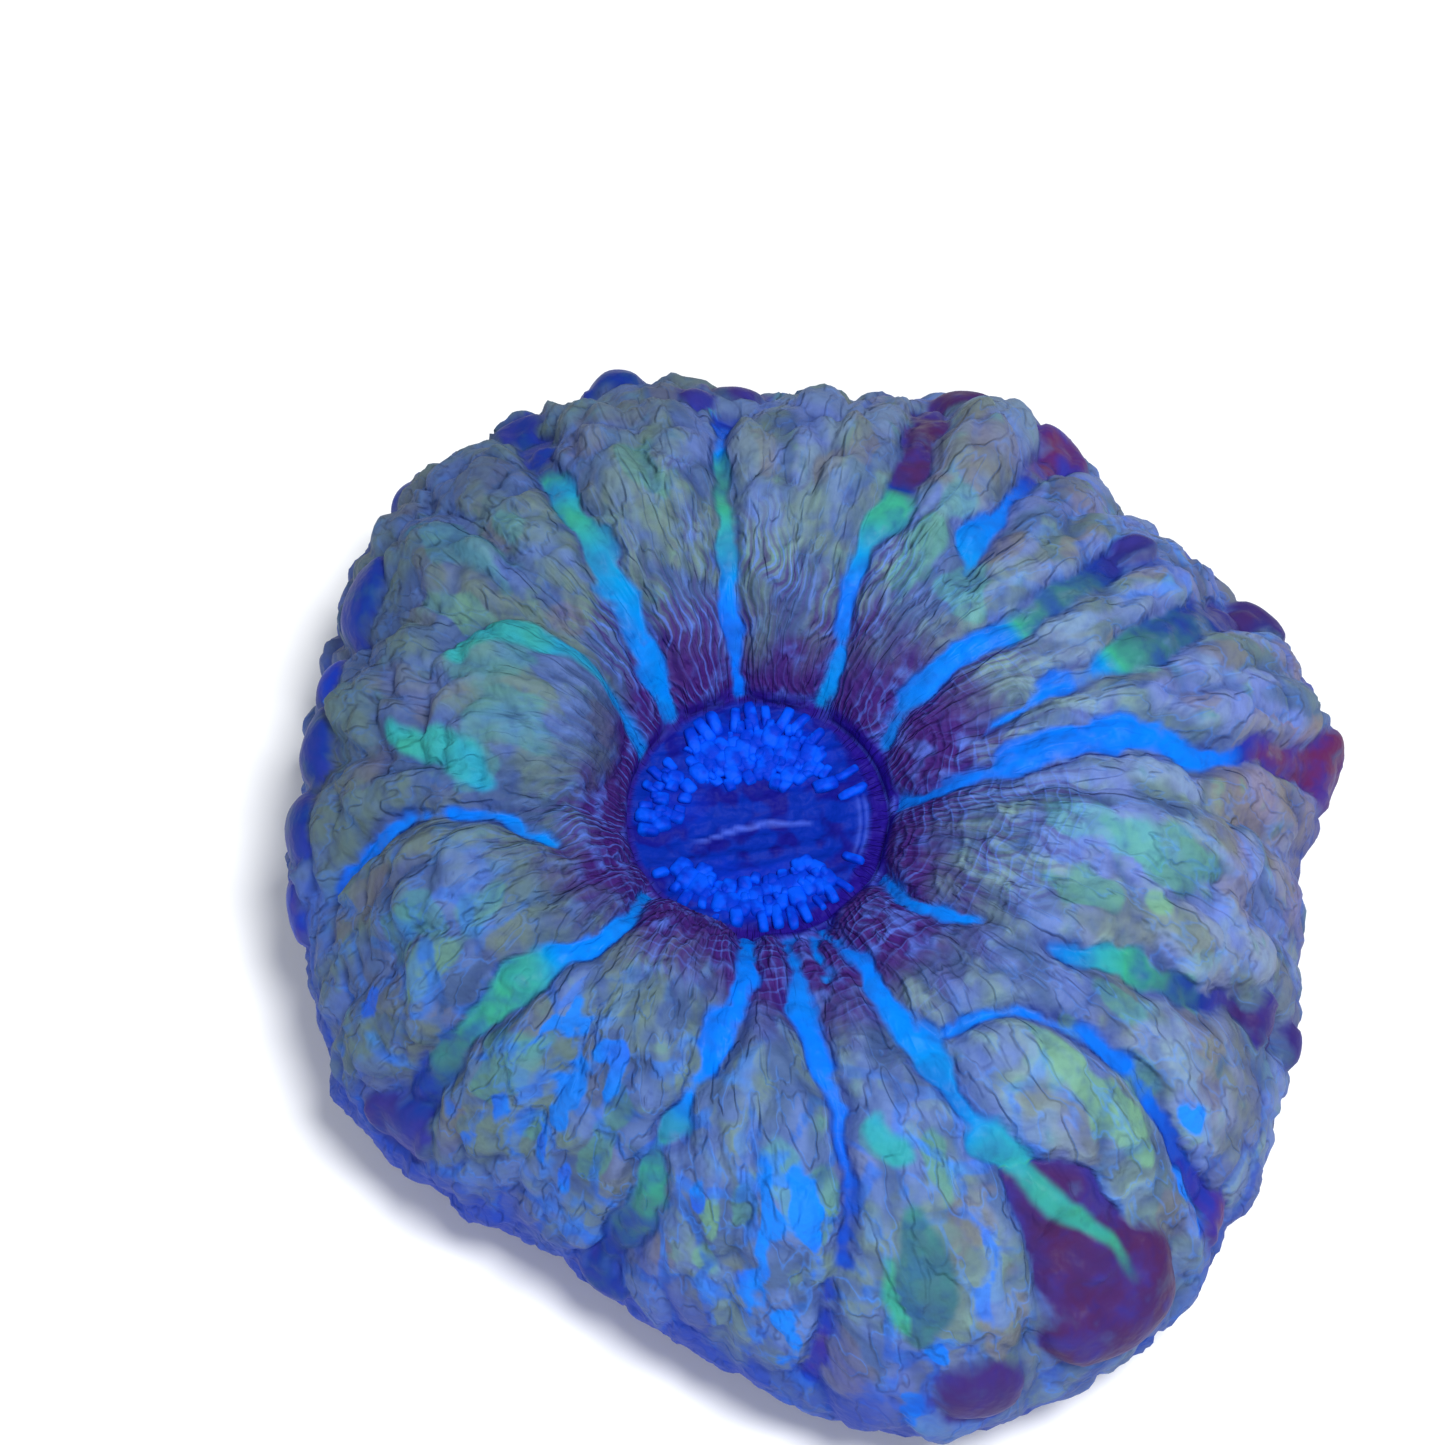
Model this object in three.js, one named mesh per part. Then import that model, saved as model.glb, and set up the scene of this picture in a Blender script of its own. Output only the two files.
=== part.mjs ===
// A solitary indophyllia coral: one inflated polyp on the flat cut of its stony foot.
// Millimetres, +Z up. The origin is on the cut, straight below the mouth.
//
// A place on the coral is given as a bearing and an out value. The bearing is in degrees, from +X
// round by +Y. The out value runs along the section: 0 at the middle of the mouth, DISC_OUT at the
// edge of the oral disc, 1 at the widest line of the flesh and FOOT_OUT at the edge of the cut.

import * as THREE from "three";

const DISC_RADIUS = 10;
const DISC_HEIGHT = 23.6;
const DISC_DISH = 0.7;
const DISC_OUT = 0.22;
const FOOT_OUT = 1.3;

// Radius of the widest line every 15 degrees of bearing.
const OUTLINE = [
  43.2, 48.3, 46.5, 44.3, 47, 44.2, 41.8, 45, 44.3, 44.1, 39.3, 37.2,
  36.4, 35.4, 36.5, 35, 33.6, 35.5, 40.1, 45.8, 47, 46.9, 44.8, 43.6,
];

// The section outside the disc. Reach is the share of the way from the disc's edge to the outline.
const SECTION = {
  out: [0.22, 0.3, 0.42, 0.56, 0.7, 0.82, 0.92, 1, 1.08, 1.18, 1.3],
  reach: [0, 0.075, 0.215, 0.435, 0.645, 0.815, 0.94, 1, 0.97, 0.83, 0.56],
  height: [24.3, 28, 32, 33.4, 31.2, 26.4, 19.6, 12.8, 7, 2.6, 0],
};

// How far the flesh swells between two ribs, from the crease to the top of the lobe.
const SWELL = {
  out: [0.22, 0.28, 0.36, 0.5, 0.7, 0.95, 1.06, 1.16, 1.24, 1.3],
  rise: [0, 0.4, 1, 2, 2.7, 3, 2.4, 1.1, 0, 0],
};
const FULL_SWELL = 3;
const SWELL_MEAN = 0.6;
const VALLEY_HALF_WIDTH = 2.8;
const RIB_RISE = 0.6;

// The ribs, the smooth bands over the main septa. Each stop is bearing, out value and full width.
const RIBS = {
  back_left: [[128.5, 0.24, 1.2], [127.5, 0.31, 2], [125.5, 0.4, 2.9], [123.5, 0.5, 2.8],
    [122, 0.59, 1.8], [121, 0.66, 2.3], [119.5, 0.74, 1.9], [118, 0.84, 2.6]],
  back: [[98, 0.23, 1], [97.5, 0.3, 1.2], [97, 0.36, 1.9], [96.5, 0.45, 1.7],
    [96, 0.52, 2], [96, 0.6, 1.8], [95.5, 0.68, 1.4], [94, 0.78, 2.4]],
  back_right: [[62.5, 0.24, 1.2], [62, 0.31, 1.5], [65.5, 0.4, 1.5], [66, 0.5, 2],
    [65, 0.58, 3.2], [65.5, 0.66, 2.9], [67, 0.74, 3.2], [69, 0.86, 3]],
  right_shoulder: [[44, 0.46, 1.2], [46, 0.53, 2.4], [50.5, 0.6, 2.6], [51, 0.68, 1.6],
    [52, 0.77, 1.9], [53.5, 0.88, 2.8]],
  right_back: [[28.5, 0.26, 0.9], [33, 0.32, 1.6], [34, 0.4, 2.4], [32.5, 0.47, 2.6],
    [31.5, 0.54, 2.8], [32.5, 0.61, 2.6], [34.5, 0.7, 2.2], [36, 0.8, 2]],
  right_upper: [[12.5, 0.39, 1], [15, 0.45, 1.3], [17, 0.5, 1.6], [18.5, 0.57, 2],
    [21, 0.67, 3], [23.5, 0.77, 3.6], [27.5, 0.92, 3]],
  right: [[2.5, 0.25, 0.8], [-0.5, 0.32, 1.2], [1, 0.41, 1.7], [4, 0.48, 2.4], [6.5, 0.55, 3],
    [6.5, 0.62, 3], [6, 0.68, 2.4], [4.5, 0.74, 2], [7, 0.82, 2], [9, 0.9, 2.8], [10.5, 0.98, 3.2]],
  right_lower: [[329, 0.25, 0.9], [320, 0.33, 1.2], [320, 0.4, 1.6], [323, 0.47, 1]],
  front_right_rim: [[325.5, 0.57, 1.2], [328, 0.64, 1.6], [331.5, 0.72, 2.6], [334, 0.79, 2.6],
    [337, 0.87, 2], [339.5, 0.96, 2.4]],
  front_right_crease: [[303, 0.54, 0.8], [309.5, 0.56, 0.8], [314.5, 0.6, 1.2], [319, 0.66, 1.4],
    [321.5, 0.75, 1.6], [321.5, 0.84, 1.8], [320.5, 0.92, 2], [321, 1, 2.4]],
  front_right: [[300, 0.25, 1], [299, 0.31, 1.6], [296.5, 0.4, 2.8], [296, 0.47, 2.6],
    [298, 0.53, 2.6], [299, 0.6, 2.2], [299, 0.67, 3.4], [302.5, 0.73, 3.6], [305, 0.8, 4.6],
    [305.5, 0.88, 6], [305.5, 0.97, 6]],
  front_short: [[291.5, 0.3, 0.7], [289, 0.37, 0.9], [287.5, 0.43, 0.9]],
  front: [[281.5, 0.3, 0.8], [280.5, 0.35, 1], [279.5, 0.41, 1.6], [278.5, 0.49, 1.6],
    [280, 0.56, 1.6], [281.5, 0.65, 1.4], [281.5, 0.74, 1.4], [280, 0.81, 1.6], [278, 0.88, 2],
    [275.5, 0.97, 2]],
  front_island: [[286, 0.6, 1.6], [285.5, 0.66, 2.6], [286, 0.72, 1.8], [287, 0.8, 3.8],
    [288, 0.88, 3.8], [290, 0.97, 3.6]],
  front_left: [[266, 0.26, 1.2], [267, 0.34, 1.4], [267, 0.42, 1.5], [263.5, 0.52, 2.6],
    [260.5, 0.62, 1.6], [259, 0.69, 1.6], [257.5, 0.75, 2.6], [256.5, 0.8, 1.2],
    [255.5, 0.86, 2.4], [253, 0.92, 3.2], [250, 1, 2.6]],
  left_front: [[222.5, 0.26, 0.9], [229, 0.36, 1.2], [231.5, 0.46, 1.8], [229, 0.52, 2.6],
    [225.5, 0.6, 2.6], [223.5, 0.68, 3], [222.5, 0.76, 2.6], [222, 0.82, 1.8], [220, 0.88, 3.2],
    [219.5, 0.97, 3.2]],
  left: [[198, 0.46, 0.8], [193, 0.52, 1.2], [190, 0.59, 1.3], [188, 0.66, 1.3],
    [187, 0.73, 1.6], [188, 0.8, 2.2], [190, 0.9, 2.2]],
};

// Plain creases between lobes that have no rib between them. Each stop is bearing and out value.
const CREASES = [
  [[109, 0.6], [108, 0.76], [110, 1]],
  [[81, 0.5], [79, 0.64], [78, 0.8], [79, 1]],
  [[139, 0.44], [137, 0.6], [135, 0.76], [135, 1]],
  [[152, 0.66], [154, 0.8], [154, 1]],
  [[188, 0.34], [182, 0.5], [178, 0.66], [173, 0.8], [172, 1]],
  [[212, 0.36], [214, 0.5], [210, 0.66], [205, 0.82], [204, 1]],
  [[244, 0.5], [240, 0.64], [238, 0.8], [236, 1]],
  [[271, 0.6], [268, 0.8], [266, 1]],
  [[293, 0.66], [295, 0.8], [297, 1]],
  [[312, 0.82], [313, 1]],
  [[331, 0.36], [334, 0.5], [345, 0.7], [350, 1]],
  [[354, 0.42], [356, 0.6], [358, 0.8], [0, 1]],
  [[24, 0.44], [26, 0.58], [29, 0.72]],
  [[42, 0.66], [44, 0.82], [44, 1]],
  [[13, 0.66], [17, 0.82], [19, 1]],
];

// Big swollen lobes: bearing, out value, half-width around, half-length outward, rise.
const MOUNDS = [
  [163, 0.46, 7.2, 8, 2.6],
  [203, 0.64, 5.8, 8.5, 2],
  [108, 0.64, 5.5, 9, 1.2],
  [81, 0.66, 5, 9, 1],
  [59.5, 0.73, 3.2, 6, 1.3],
  [350, 0.68, 5.5, 11, 1.5],
  [313.5, 0.69, 3.8, 10, 1.6],
  [270, 0.7, 5.5, 12, 1.6],
  [241, 0.52, 5.5, 8, 1.2],
  [230, 0.74, 4, 9, 1],
  [294, 0.83, 4.2, 8, 1.2],
  [142, 0.7, 3.6, 8, 1.4],
];

// Smooth round ends of the ribs and blisters on the rim: bearing, out value, radius, rise.
const BULBS = [
  [149, 0.88, 3.4, 2.4], [159, 0.9, 2.6, 2], [168.5, 0.91, 3, 2.2], [177.5, 0.93, 3.2, 2],
  [184, 1, 2.6, 1.5], [131.5, 0.92, 2.2, 1.6], [106.5, 0.87, 2.8, 2.8], [118, 0.87, 2.4, 2.2],
  [92.5, 0.83, 2.2, 1.6], [97.5, 0.79, 1.6, 1], [54, 0.9, 2.8, 1.8], [35.5, 0.78, 1.8, 1.2],
  [27, 0.94, 2.6, 2], [11, 0.98, 3.6, 2.2], [17, 0.95, 2.6, 1.6], [337, 0.89, 1.9, 1.2],
  [339.5, 0.98, 2.2, 1.6], [321, 1.02, 2.4, 1.6], [305.5, 0.93, 5.4, 1.8], [290.5, 1, 3.4, 2],
  [250, 1.02, 2.4, 1.6], [219.5, 0.96, 3.2, 1.6], [2, 1, 3.4, 1.2], [66.5, 0.9, 2.6, 1.2],
];

// Small lumps that cover the flesh, set out on a golden-angle spiral.
const LUMP_COUNT = 300;
const LUMP_FROM = 0.5;
const LUMP_TO = 1.12;
const LUMP_RADIUS = 2.5;
const LUMP_STRETCH = 1.3;
const LUMP_RISE = 0.9;
const GOLDEN_ANGLE = 137.508;

// Blunt septal teeth in spokes over the oral disc.
const TOOTH_SPOKES = 22;
const TOOTH_OUTS = [0.115, 0.16, 0.205];
const TOOTH_RADIUS = 1.1;
const TOOTH_RISE = 0.7;
const MOUTH_LENGTH = 8;
const MOUTH_BEARING = 8;
const MOUTH_HALF_WIDTH = 1.4;
const MOUTH_DEPTH = 0.8;

const RINGS = 40;
const DISC_RINGS = 7;
const PATH_STEPS = 4;

const clamp01 = (x) => Math.min(1, Math.max(0, x));
const dome = (x) => Math.max(0, 1 - x * x);
const fraction = (x) => x - Math.floor(x);
const scatter = (i, salt) => fraction(Math.sin(i * 12.9898 + salt * 78.233) * 43758.5453);

// Slope at key i of a curve through unevenly spaced keys.
function slopeAt(keys, values, i) {
  if (i === 0) return (values[1] - values[0]) / (keys[1] - keys[0]);
  const last = keys.length - 1;
  if (i === last) return (values[last] - values[last - 1]) / (keys[last] - keys[last - 1]);
  const before = keys[i] - keys[i - 1];
  const after = keys[i + 1] - keys[i];
  const falling = after * after * (values[i] - values[i - 1]);
  const rising = before * before * (values[i + 1] - values[i]);
  return (falling + rising) / (before * after * (before + after));
}

// A smooth curve through the keys, as a cubic between each two.
function smoothThrough(keys, values, x) {
  let i = 0;
  while (i < keys.length - 2 && x >= keys[i + 1]) i += 1;
  const span = keys[i + 1] - keys[i];
  const t = (x - keys[i]) / span;
  const t2 = t * t;
  const t3 = t2 * t;
  return (2 * t3 - 3 * t2 + 1) * values[i]
    + (t3 - 2 * t2 + t) * span * slopeAt(keys, values, i)
    + (3 * t2 - 2 * t3) * values[i + 1]
    + (t3 - t2) * span * slopeAt(keys, values, i + 1);
}

// A straight-line curve through the keys, held at its ends.
function straightThrough(keys, values, x) {
  if (x <= keys[0]) return values[0];
  const i = keys.findIndex((key) => key > x);
  if (i < 0) return values[values.length - 1];
  const t = (x - keys[i - 1]) / (keys[i] - keys[i - 1]);
  return values[i - 1] + t * (values[i] - values[i - 1]);
}

function catmullRom(a, b, c, d, t) {
  return 0.5 * (2 * b + (c - a) * t + (2 * a - 5 * b + 4 * c - d) * t * t
    + (3 * b - a - 3 * c + d) * t * t * t);
}

function outlineRadius(bearing) {
  const count = OUTLINE.length;
  const x = fraction(bearing / 360) * count;
  const i = Math.floor(x);
  const at = (k) => OUTLINE[(i + k + count) % count];
  return catmullRom(at(-1), at(0), at(1), at(2), x - i);
}

// The plain form of the coral, before its lobes, ribs and lumps are raised.
function formPoint(bearing, out) {
  const inDisc = out < DISC_OUT;
  const share = out / DISC_OUT;
  const reach = inDisc ? 0 : smoothThrough(SECTION.out, SECTION.reach, out);
  const radius = inDisc
    ? DISC_RADIUS * share
    : DISC_RADIUS + reach * (outlineRadius(bearing) - DISC_RADIUS);
  const height = inDisc
    ? DISC_HEIGHT + DISC_DISH * share * share
    : smoothThrough(SECTION.out, SECTION.height, out);
  const turn = THREE.MathUtils.degToRad(bearing);
  return new THREE.Vector3(radius * Math.cos(turn), radius * Math.sin(turn), height);
}

// The form's point with its outward normal and the two directions along the surface.
function formFrame(bearing, out) {
  const step = 0.002;
  const turn = THREE.MathUtils.degToRad(bearing);
  const low = Math.max(out - step, 0);
  const high = Math.min(out + step, FOOT_OUT);
  const outward = formPoint(bearing, high).sub(formPoint(bearing, low)).normalize();
  const around = new THREE.Vector3(-Math.sin(turn), Math.cos(turn), 0);
  around.addScaledVector(outward, -around.dot(outward)).normalize();
  const normal = new THREE.Vector3().crossVectors(outward, around);
  return { point: formPoint(bearing, out), outward, around, normal };
}

// A path of stops as short straight pieces on the form, each with its half-width at both ends.
function pathPieces(stops) {
  const marks = [];
  const at = (i, k) => stops[Math.min(Math.max(i, 0), stops.length - 1)][k] ?? 0;
  for (let i = 0; i < stops.length - 1; i += 1) {
    for (let step = 0; step < PATH_STEPS; step += 1) {
      const t = step / PATH_STEPS;
      marks.push([0, 1, 2].map((k) =>
        catmullRom(at(i - 1, k), at(i, k), at(i + 1, k), at(i + 2, k), t)));
    }
  }
  marks.push([0, 1, 2].map((k) => at(stops.length - 1, k)));
  const ends = marks.map(([bearing, out, width]) =>
    ({ point: formPoint(bearing, out), half: width / 2 }));
  return ends.slice(1).map((end, i) => ({ from: ends[i], to: end }));
}

// Distance from a point to the middle of a path, and the path's half-width there.
function nearestOnPath(point, pieces) {
  let best = { distance: Infinity, half: 0 };
  for (const { from, to } of pieces) {
    const along = new THREE.Vector3().subVectors(to.point, from.point);
    const t = clamp01(
      new THREE.Vector3().subVectors(point, from.point).dot(along) / along.lengthSq());
    const distance = from.point.clone().addScaledVector(along, t).distanceTo(point);
    if (distance < best.distance) {
      best = { distance, half: from.half + t * (to.half - from.half) };
    }
  }
  return best;
}

// An oval cap on the form, by its place, half-width around, half-length outward and rise.
function ovalCap(bearing, out, halfAround, halfOutward, rise) {
  return { ...formFrame(bearing, out), halfAround, halfOutward, rise };
}

// Height of the tallest of the caps at a point.
function tallestCap(point, caps) {
  let height = 0;
  const offset = new THREE.Vector3();
  for (const oval of caps) {
    offset.subVectors(point, oval.point);
    const depth = offset.dot(oval.normal) / oval.halfOutward;
    const across = offset.dot(oval.around) / oval.halfAround;
    const along = offset.dot(oval.outward) / oval.halfOutward;
    const away = Math.sqrt(across * across + along * along + depth * depth);
    height = Math.max(height, oval.rise * dome(away));
  }
  return height;
}

function makeLumps() {
  const lumps = [];
  for (let i = 0; i < LUMP_COUNT; i += 1) {
    const share = (i + 0.5) / LUMP_COUNT;
    const out = LUMP_FROM + (LUMP_TO - LUMP_FROM) * share;
    const size = LUMP_RADIUS * (0.75 + 0.5 * scatter(i, 1));
    const rise = LUMP_RISE * (0.6 + 0.7 * scatter(i, 2));
    lumps.push(ovalCap(i * GOLDEN_ANGLE, out, size, size * LUMP_STRETCH, rise));
  }
  return lumps;
}

function makeTeeth() {
  const teeth = [];
  for (let spoke = 0; spoke < TOOTH_SPOKES; spoke += 1) {
    TOOTH_OUTS.forEach((out, row) => {
      const bearing = ((spoke + 0.5 * (row % 2)) * 360) / TOOTH_SPOKES;
      const inner = row === 0 && spoke % 2 === 1;
      if (!inner) teeth.push(ovalCap(bearing, out, TOOTH_RADIUS, TOOTH_RADIUS, TOOTH_RISE));
    });
  }
  return teeth;
}

const linePaths = [...Object.values(RIBS), ...CREASES].map(pathPieces);
const mounds = MOUNDS.map((mound) => ovalCap(...mound));
const bulbs = BULBS.map(([bearing, out, radius, rise]) =>
  ovalCap(bearing, out, radius, radius, rise));
const lumps = makeLumps();
const teeth = makeTeeth();

// The mouth, a shallow slit across the disc.
function mouthDip(point) {
  const turn = THREE.MathUtils.degToRad(MOUTH_BEARING);
  const along = point.x * Math.cos(turn) + point.y * Math.sin(turn);
  const across = point.y * Math.cos(turn) - point.x * Math.sin(turn);
  return MOUTH_DEPTH * dome(Math.hypot((2 * along) / MOUTH_LENGTH, across / MOUTH_HALF_WIDTH));
}

// How far the surface stands off the plain form at a place.
function relief(point, out) {
  if (out < DISC_OUT) return tallestCap(point, teeth) - mouthDip(point);
  let lobe = 1;
  let rib = 0;
  for (const pieces of linePaths) {
    const { distance, half } = nearestOnPath(point, pieces);
    const clear = Math.max(distance - half, 0) / VALLEY_HALF_WIDTH;
    lobe *= 1 - Math.exp(-clear * clear);
    if (half > 0) rib = Math.max(rib, RIB_RISE * half * dome(distance / half));
  }
  const swell = straightThrough(SWELL.out, SWELL.rise, out);
  const strength = swell / FULL_SWELL;
  const onLobe = lobe * strength * (tallestCap(point, mounds) + tallestCap(point, lumps));
  const onRib = Math.max(rib, strength * tallestCap(point, bulbs));
  return swell * (lobe - SWELL_MEAN) + Math.max(onLobe, onRib);
}

function surfacePoint(bearing, out) {
  const { point, normal } = formFrame(bearing, out);
  return point.addScaledVector(normal, relief(point, out));
}

// Rings of points, six more in each than in the last, from the mouth to the edge of the cut.
function ringPoints() {
  const points = [surfacePoint(0, 0)];
  for (let ring = 1; ring <= RINGS; ring += 1) {
    const out = straightThrough([0, DISC_RINGS, RINGS], [0, DISC_OUT, FOOT_OUT], ring);
    for (let i = 0; i < 6 * ring; i += 1) points.push(surfacePoint((60 * i) / ring, out));
  }
  return points;
}

// Triangles between the rings, sector by sector, facing out, and a fan over the flat cut.
function ringTriangles(hub) {
  const first = (ring) => (ring === 0 ? 0 : 1 + 3 * ring * (ring - 1));
  const at = (ring, i) => (ring === 0 ? 0 : first(ring) + (i % (6 * ring)));
  const triangles = [];
  for (let ring = 1; ring <= RINGS; ring += 1) {
    for (let sector = 0; sector < 6; sector += 1) {
      for (let i = 0; i < ring; i += 1) {
        const outer = sector * ring + i;
        const inner = sector * (ring - 1) + i;
        triangles.push(at(ring, outer), at(ring, outer + 1), at(ring - 1, inner));
        if (i < ring - 1) {
          triangles.push(at(ring, outer + 1), at(ring - 1, inner + 1), at(ring - 1, inner));
        }
      }
    }
  }
  for (let i = 0; i < 6 * RINGS; i += 1) {
    triangles.push(at(RINGS, i + 1), at(RINGS, i), hub);
  }
  return triangles;
}

function coralGeometry() {
  const points = ringPoints();
  points.push(new THREE.Vector3(0, 0, 0));
  const geometry = new THREE.BufferGeometry().setFromPoints(points);
  geometry.setIndex(ringTriangles(points.length - 1));
  geometry.computeVertexNormals();
  return geometry;
}

const flesh = new THREE.MeshStandardMaterial({
  color: new THREE.Color(0.3, 0.42, 0.6),
  roughness: 0.5,
  metalness: 0,
});

const coral = new THREE.Mesh(coralGeometry(), flesh);
coral.name = "coral";

const part = new THREE.Group();
part.add(coral);

export default part;
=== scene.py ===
# %% [markdown]
# # An indophyllia coral
#
# The real thing is a single animal. A round stony skeleton is hidden under flesh that swells up
# with water into a ring of lobes. In the middle sits the oral disc with the mouth, low down as
# in a funnel. Smooth ribs run outwards from the disc, one over each main wall of the skeleton.
# The CAD part has that form as one coarse mesh. This lesson grows the same form again in a much
# finer mesh, and gives it the colours of coral flesh under blue light.

# %% Load the CAD part
import math

import bpy
import numpy as np
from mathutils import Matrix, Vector, kdtree, noise


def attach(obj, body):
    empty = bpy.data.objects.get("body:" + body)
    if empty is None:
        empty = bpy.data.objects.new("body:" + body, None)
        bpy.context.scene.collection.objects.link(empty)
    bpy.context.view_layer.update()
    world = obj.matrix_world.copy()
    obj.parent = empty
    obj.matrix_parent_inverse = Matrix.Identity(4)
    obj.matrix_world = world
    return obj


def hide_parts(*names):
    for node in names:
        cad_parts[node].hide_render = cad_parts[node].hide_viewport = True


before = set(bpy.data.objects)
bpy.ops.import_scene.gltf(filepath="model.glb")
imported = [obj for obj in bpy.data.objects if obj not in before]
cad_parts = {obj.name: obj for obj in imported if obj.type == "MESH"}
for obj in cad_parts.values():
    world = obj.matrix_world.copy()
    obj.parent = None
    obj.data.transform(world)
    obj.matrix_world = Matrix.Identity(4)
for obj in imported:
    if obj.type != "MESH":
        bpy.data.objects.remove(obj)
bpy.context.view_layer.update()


def placed(name, data):
    """A new object in the scene that shows this data."""
    made = bpy.data.objects.new(name, data)
    bpy.context.scene.collection.objects.link(made)
    return made


# %% [markdown]
# ## Camera, floor and light
#
# The picture was taken from the front, 62 degrees above the horizon, with the whole coral close
# to filling the frame. The camera's place is worked out from that angle, its distance and where
# the mouth falls in the picture. The floor is a plain pale plane. One soft lamp high up in
# front, a wide weaker one low on the left and a bright world keep the shadows soft.

# %% Place the camera
MM = 0.001
PHOTO_SIDE = 1445
MOUTH_PIXEL = (757, 822)
MOUTH = Vector((0, 0, 23.6)) * MM
CAMERA_ELEVATION = math.radians(62)
CAMERA_DISTANCE = 0.27
METRES_A_PIXEL = 0.081 / 1045
SENSOR = 36

focal_pixels = CAMERA_DISTANCE / METRES_A_PIXEL
towards_camera = Vector((0, -math.cos(CAMERA_ELEVATION), math.sin(CAMERA_ELEVATION)))
picture_up = Vector((0, math.sin(CAMERA_ELEVATION), math.cos(CAMERA_ELEVATION)))
pixels_right = MOUTH_PIXEL[0] - PHOTO_SIDE / 2
pixels_up = PHOTO_SIDE / 2 - MOUTH_PIXEL[1]
camera_data = bpy.data.cameras.new("camera")
camera_data.sensor_width = SENSOR
camera_data.lens = focal_pixels / PHOTO_SIDE * SENSOR
camera = placed("camera", camera_data)
camera.location = (MOUTH + towards_camera * CAMERA_DISTANCE
                   - Vector((1, 0, 0)) * pixels_right * METRES_A_PIXEL
                   - picture_up * pixels_up * METRES_A_PIXEL)
camera.rotation_euler = (math.pi / 2 - CAMERA_ELEVATION, 0, 0)
bpy.context.scene.camera = camera
print("camera at", [round(v, 4) for v in camera.location], "lens", round(camera_data.lens, 1))

# %% Lay the floor and hang the lamps
FLOOR_HALF = 1.5
FLOOR_COLOUR = (0.9, 0.91, 0.92, 1)
FLOOR_ROUGHNESS = 0.9
WORLD_COLOUR = (0.95, 0.97, 1, 1)
WORLD_STRENGTH = 0.38
WHITE = (1, 1, 1)
COOL_WHITE = (0.94, 0.97, 1)


def soft_lamp(name, place, side, watts, colour):
    """A round soft lamp that points at the mouth."""
    data = bpy.data.lights.new(name, "AREA")
    data.shape = "DISK"
    data.size = side
    data.energy = watts
    data.color = colour
    lamp = placed(name, data)
    lamp.location = place
    lamp.rotation_euler = (MOUTH - Vector(place)).to_track_quat("-Z", "Y").to_euler()


floor_mesh = bpy.data.meshes.new("floor")
floor_corners = [(x * FLOOR_HALF, y * FLOOR_HALF, 0) for x, y in ((-1, -1), (1, -1), (1, 1), (-1, 1))]
floor_mesh.from_pydata(floor_corners, [], [(0, 1, 2, 3)])
floor = placed("floor", floor_mesh)
floor_paint = bpy.data.materials.new("floor_paint")
floor_paint.use_nodes = True
floor_sockets = floor_paint.node_tree.nodes["Principled BSDF"].inputs
floor_sockets["Base Color"].default_value = FLOOR_COLOUR
floor_sockets["Roughness"].default_value = FLOOR_ROUGHNESS
floor_mesh.materials.append(floor_paint)

soft_lamp("key_lamp", (0.12, -0.1, 0.55), 0.16, 3.3, WHITE)
soft_lamp("fill_lamp", (-0.25, -0.4, 0.22), 0.4, 0.8, COOL_WHITE)
world = bpy.data.worlds.new("studio")
world.use_nodes = True
world_sockets = world.node_tree.nodes["Background"].inputs
world_sockets["Color"].default_value = WORLD_COLOUR
world_sockets["Strength"].default_value = WORLD_STRENGTH
bpy.context.scene.world = world
bpy.context.scene.view_settings.view_transform = "Standard"
print("floor, two lamps and a pale world")

# %% [markdown]
# ## The plain form
#
# A place on the coral is given by a bearing and an out value. The bearing is in degrees, from +X
# round by +Y. The out value runs along the section: 0 in the middle of the mouth, 0.22 at the
# edge of the oral disc, 1 at the widest line of the flesh and 1.3 at the edge of the cut foot.
# A lathe would make a round ring, but this coral's outline isn't round. So the section is swept
# by a formula whose radius follows the outline, in the same numbers as the CAD part.

# %% Outline and section, in millimetres
DISC_RADIUS = 10
DISC_HEIGHT = 23.6
DISC_DISH = 0.7
DISC_OUT = 0.22
FOOT_OUT = 1.3
OUTLINE = np.array([
    43.2, 48.3, 46.5, 44.3, 47, 44.2, 41.8, 45, 44.3, 44.1, 39.3, 37.2,
    36.4, 35.4, 36.5, 35, 33.6, 35.5, 40.1, 45.8, 47, 46.9, 44.8, 43.6])
SECTION_OUT = np.array([0.22, 0.3, 0.42, 0.56, 0.7, 0.82, 0.92, 1, 1.08, 1.18, 1.3])
SECTION_REACH = np.array([0, 0.075, 0.215, 0.435, 0.645, 0.815, 0.94, 1, 0.97, 0.83, 0.56])
SECTION_HEIGHT = np.array([24.3, 28, 32, 33.4, 31.2, 26.4, 19.6, 12.8, 7, 2.6, 0])


def catmull_rom(a, b, c, d, t):
    return 0.5 * (2 * b + (c - a) * t + (2 * a - 5 * b + 4 * c - d) * t**2
                  + (3 * b - a - 3 * c + d) * t**3)


def smooth_through(keys, values, x):
    """A smooth curve through the keys, as a cubic between each two."""
    slopes = np.gradient(values, keys)
    i = np.clip(np.searchsorted(keys, x, side="right") - 1, 0, len(keys) - 2)
    span = keys[i + 1] - keys[i]
    t = (x - keys[i]) / span
    return ((2 * t**3 - 3 * t**2 + 1) * values[i] + (t**3 - 2 * t**2 + t) * span * slopes[i]
            + (3 * t**2 - 2 * t**3) * values[i + 1] + (t**3 - t**2) * span * slopes[i + 1])


def outline_radius(bearing):
    x = (bearing % 360) / 360 * len(OUTLINE)
    i = np.floor(x).astype(int)
    around = [OUTLINE[(i + k) % len(OUTLINE)] for k in (-1, 0, 1, 2)]
    return catmull_rom(*around, x - i)


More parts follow.
